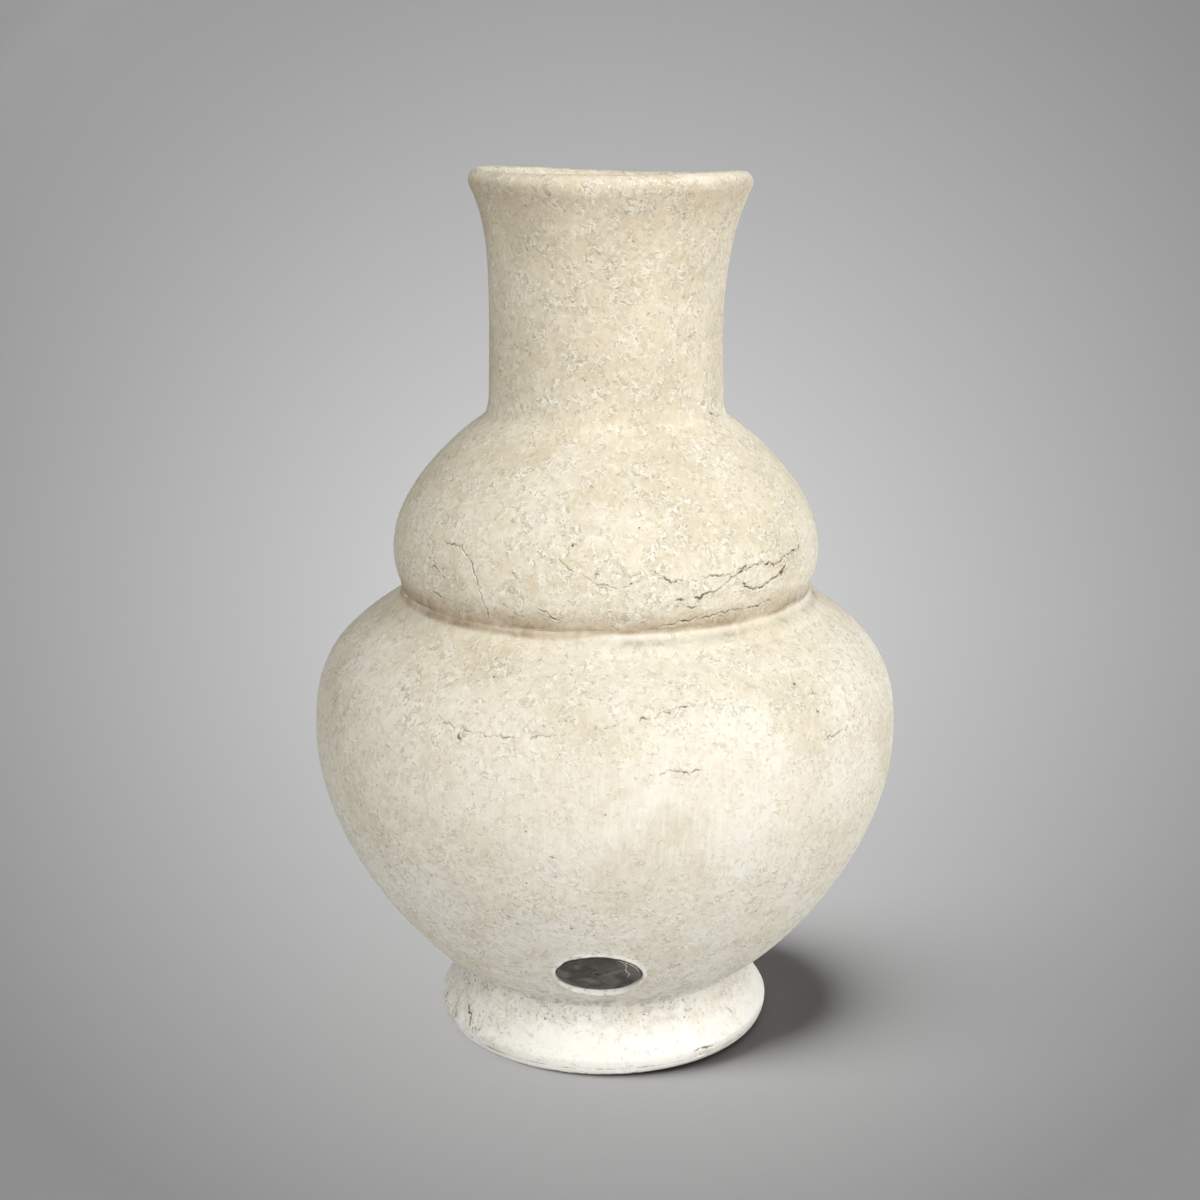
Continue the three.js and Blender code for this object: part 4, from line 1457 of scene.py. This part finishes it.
floor_mesh = throw("studio_floor", rings(chain(floor_flat_part, floor_curve), 0, 0), paper_columns)
floor_mesh.flip_normals()
floor_mesh.shade_smooth()
floor = bpy.data.objects.new("studio_floor", floor_mesh)
bpy.context.scene.collection.objects.link(floor)
paper = bpy.data.materials.new("grey_paper")
paper.use_nodes = True
paper_tree = paper.node_tree
paper_shader = paper_tree.nodes["Principled BSDF"]
paper_place = add(paper_tree, "SeparateXYZ", {0: add(paper_tree, "TexCoord").outputs["Object"]}).outputs
# Painted light: a pool of light, brightest near the vase and fading to the sides and up the sweep
ahead = calc(paper_tree, "MAXIMUM", calc(paper_tree, "ADD", paper_place["Y"], pool_start), least_ahead)
aside = calc(paper_tree, "DIVIDE", paper_place["X"], ahead)
over = calc(paper_tree, "DIVIDE", calc(paper_tree, "SUBTRACT", paper_place["Z"], pool_height), ahead)
over = calc(paper_tree, "ADD", over, pool_slope)
square = calc(paper_tree, "MULTIPLY", over, over)
from_pool = calc(paper_tree, "SQRT", calc(paper_tree, "MULTIPLY_ADD", aside, aside, square))
paper_tone = calc(paper_tree, "MULTIPLY_ADD", from_pool, -pool_fade, pool_tone)
paper_tone = calc(paper_tree, "POWER", calc(paper_tree, "MAXIMUM", paper_tone, least_tone), tone_power)
paper_facing = add(paper_tree, "TexCoord").outputs["Normal"]
paper_facing = add(paper_tree, "VectorMath", {0: paper_facing, 1: to_floor_lamp}, operation="DOT_PRODUCT")
paper_facing = paper_facing.outputs["Value"]
ray = add(paper_tree, "LightPath").outputs
paper_seen = calc(paper_tree, "MAXIMUM", ray["Is Camera Ray"], ray["Is Glossy Ray"])
paper_seen = calc(paper_tree, "MAXIMUM", paper_seen, ray["Is Transmission Ray"])
# Painted light: where the paper faces away from the floor lamp, it glows for the camera and reflections
unlit = calc(paper_tree, "MULTIPLY", ramp(paper_tree, paper_facing, least_facing, 0), paper_seen)
paper_glow = calc(paper_tree, "MULTIPLY", calc(paper_tree, "MULTIPLY", unlit, paper_tone), glow_level)
# Painted light: the tone is raised where the paper faces the floor lamp less, cancelling its shading
paper_facing = calc(paper_tree, "MAXIMUM", paper_facing, least_facing)
paper_facing = calc(paper_tree, "MULTIPLY_ADD", paper_facing, 1 - skylight_share, skylight_share)
paper_tone = calc(paper_tree, "DIVIDE", paper_tone, paper_facing)
paper_colour = tint(paper_tree, paper_seen, bounced_tone, paper_tone)
paper_tree.links.new(paper_colour, paper_shader.inputs["Base Color"])
paper_tree.links.new(paper_glow, paper_shader.inputs["Emission Color"])
paper_shader.inputs["Emission Strength"].default_value = 1.0
paper_shader.inputs["Roughness"].default_value = 1.0
paper_shader.inputs["Specular IOR Level"].default_value = 0.0
floor_mesh.materials.append(paper)


# Lights: two broad soft lamps high in front of the vase, a weak pale sky, and a low wide lamp from the
# left for the paper alone. Only the foot shades that one, so the shadow on the paper stays short.
def soft_lamp(kind, name, place, aim, size, power, tone):
    """A lamp turned to its aim. Its size is a disc's width in metres, or the angle that a sun fills"""
    lamp = bpy.data.lights.new(name, kind)
    lamp.energy = power
    lamp.color = tone
    if kind == "AREA":
        lamp.shape = "DISK"
        lamp.size = size
    else:
        lamp.angle = size
    stand = bpy.data.objects.new(name, lamp)
    stand.location = place
    stand.rotation_euler = (Vector(aim) - Vector(place)).to_track_quat("-Z", "Y").to_euler()
    bpy.context.scene.collection.objects.link(stand)
    return stand


vase_middle = (0, 0, 0.2)
warm_white = (1.0, 0.98, 0.94)
plain_white = (1, 1, 1)
lamp_width = 0.9
floor_lamp_angle = math.radians(36)
left_lamp = soft_lamp("AREA", "left_lamp", place=(-0.5, -1.39, 1.23), aim=vase_middle,
                      size=lamp_width, power=14.7, tone=warm_white)
right_lamp = soft_lamp("AREA", "right_lamp", place=(0.95, -1.13, 1.23), aim=vase_middle,
                       size=lamp_width, power=12.9, tone=warm_white)
floor_lamp = soft_lamp("SUN", "floor_lamp", place=to_floor_lamp, aim=(0, 0, 0),
                       size=floor_lamp_angle, power=15.6, tone=plain_white)
vase_pieces = bpy.data.collections.new("vase_pieces")
for piece in bpy.context.scene.objects:
    if piece.type == "MESH" and piece != floor:
        vase_pieces.objects.link(piece)
floor_pieces = bpy.data.collections.new("floor_pieces")
floor_pieces.objects.link(floor)
foot_pieces = bpy.data.collections.new("foot_pieces")
foot_pieces.objects.link(bpy.data.objects["whitewashed_foot"])
for lamp in (left_lamp, right_lamp):
    lamp.light_linking.receiver_collection = vase_pieces
floor_lamp.light_linking.receiver_collection = floor_pieces
floor_lamp.light_linking.blocker_collection = foot_pieces
sky = bpy.data.worlds.new("pale_sky")
sky.use_nodes = True
sky.node_tree.nodes["Background"].inputs["Color"].default_value = (0.985, 0.99, 1.0, 1.0)
sky.node_tree.nodes["Background"].inputs["Strength"].default_value = 0.15
bpy.context.scene.world = sky


# Camera: a little above the vase and looking down on it, from the side with the badge. Its place, tilt and
# lens frame the vase as the photograph does.
camera_place = (-2.5 * mm, -849.4 * mm, 426.5 * mm)
camera_pitch = math.radians(14.27)
camera_roll = math.radians(0.15)
picture_width = 1200
focal_length_in_pixels = 1818
lens = bpy.data.cameras.new("photo_camera")
lens.sensor_width = 36
lens.lens = lens.sensor_width * focal_length_in_pixels / picture_width
camera = bpy.data.objects.new("photo_camera", lens)
camera.matrix_world = (
    Matrix.Translation(camera_place)
    @ Matrix.Rotation(math.pi / 2 - camera_pitch, 4, "X")
    @ Matrix.Rotation(camera_roll, 4, "Z")
)
bpy.context.scene.collection.objects.link(camera)
bpy.context.scene.camera = camera
bpy.context.scene.view_settings.view_transform = "Standard"
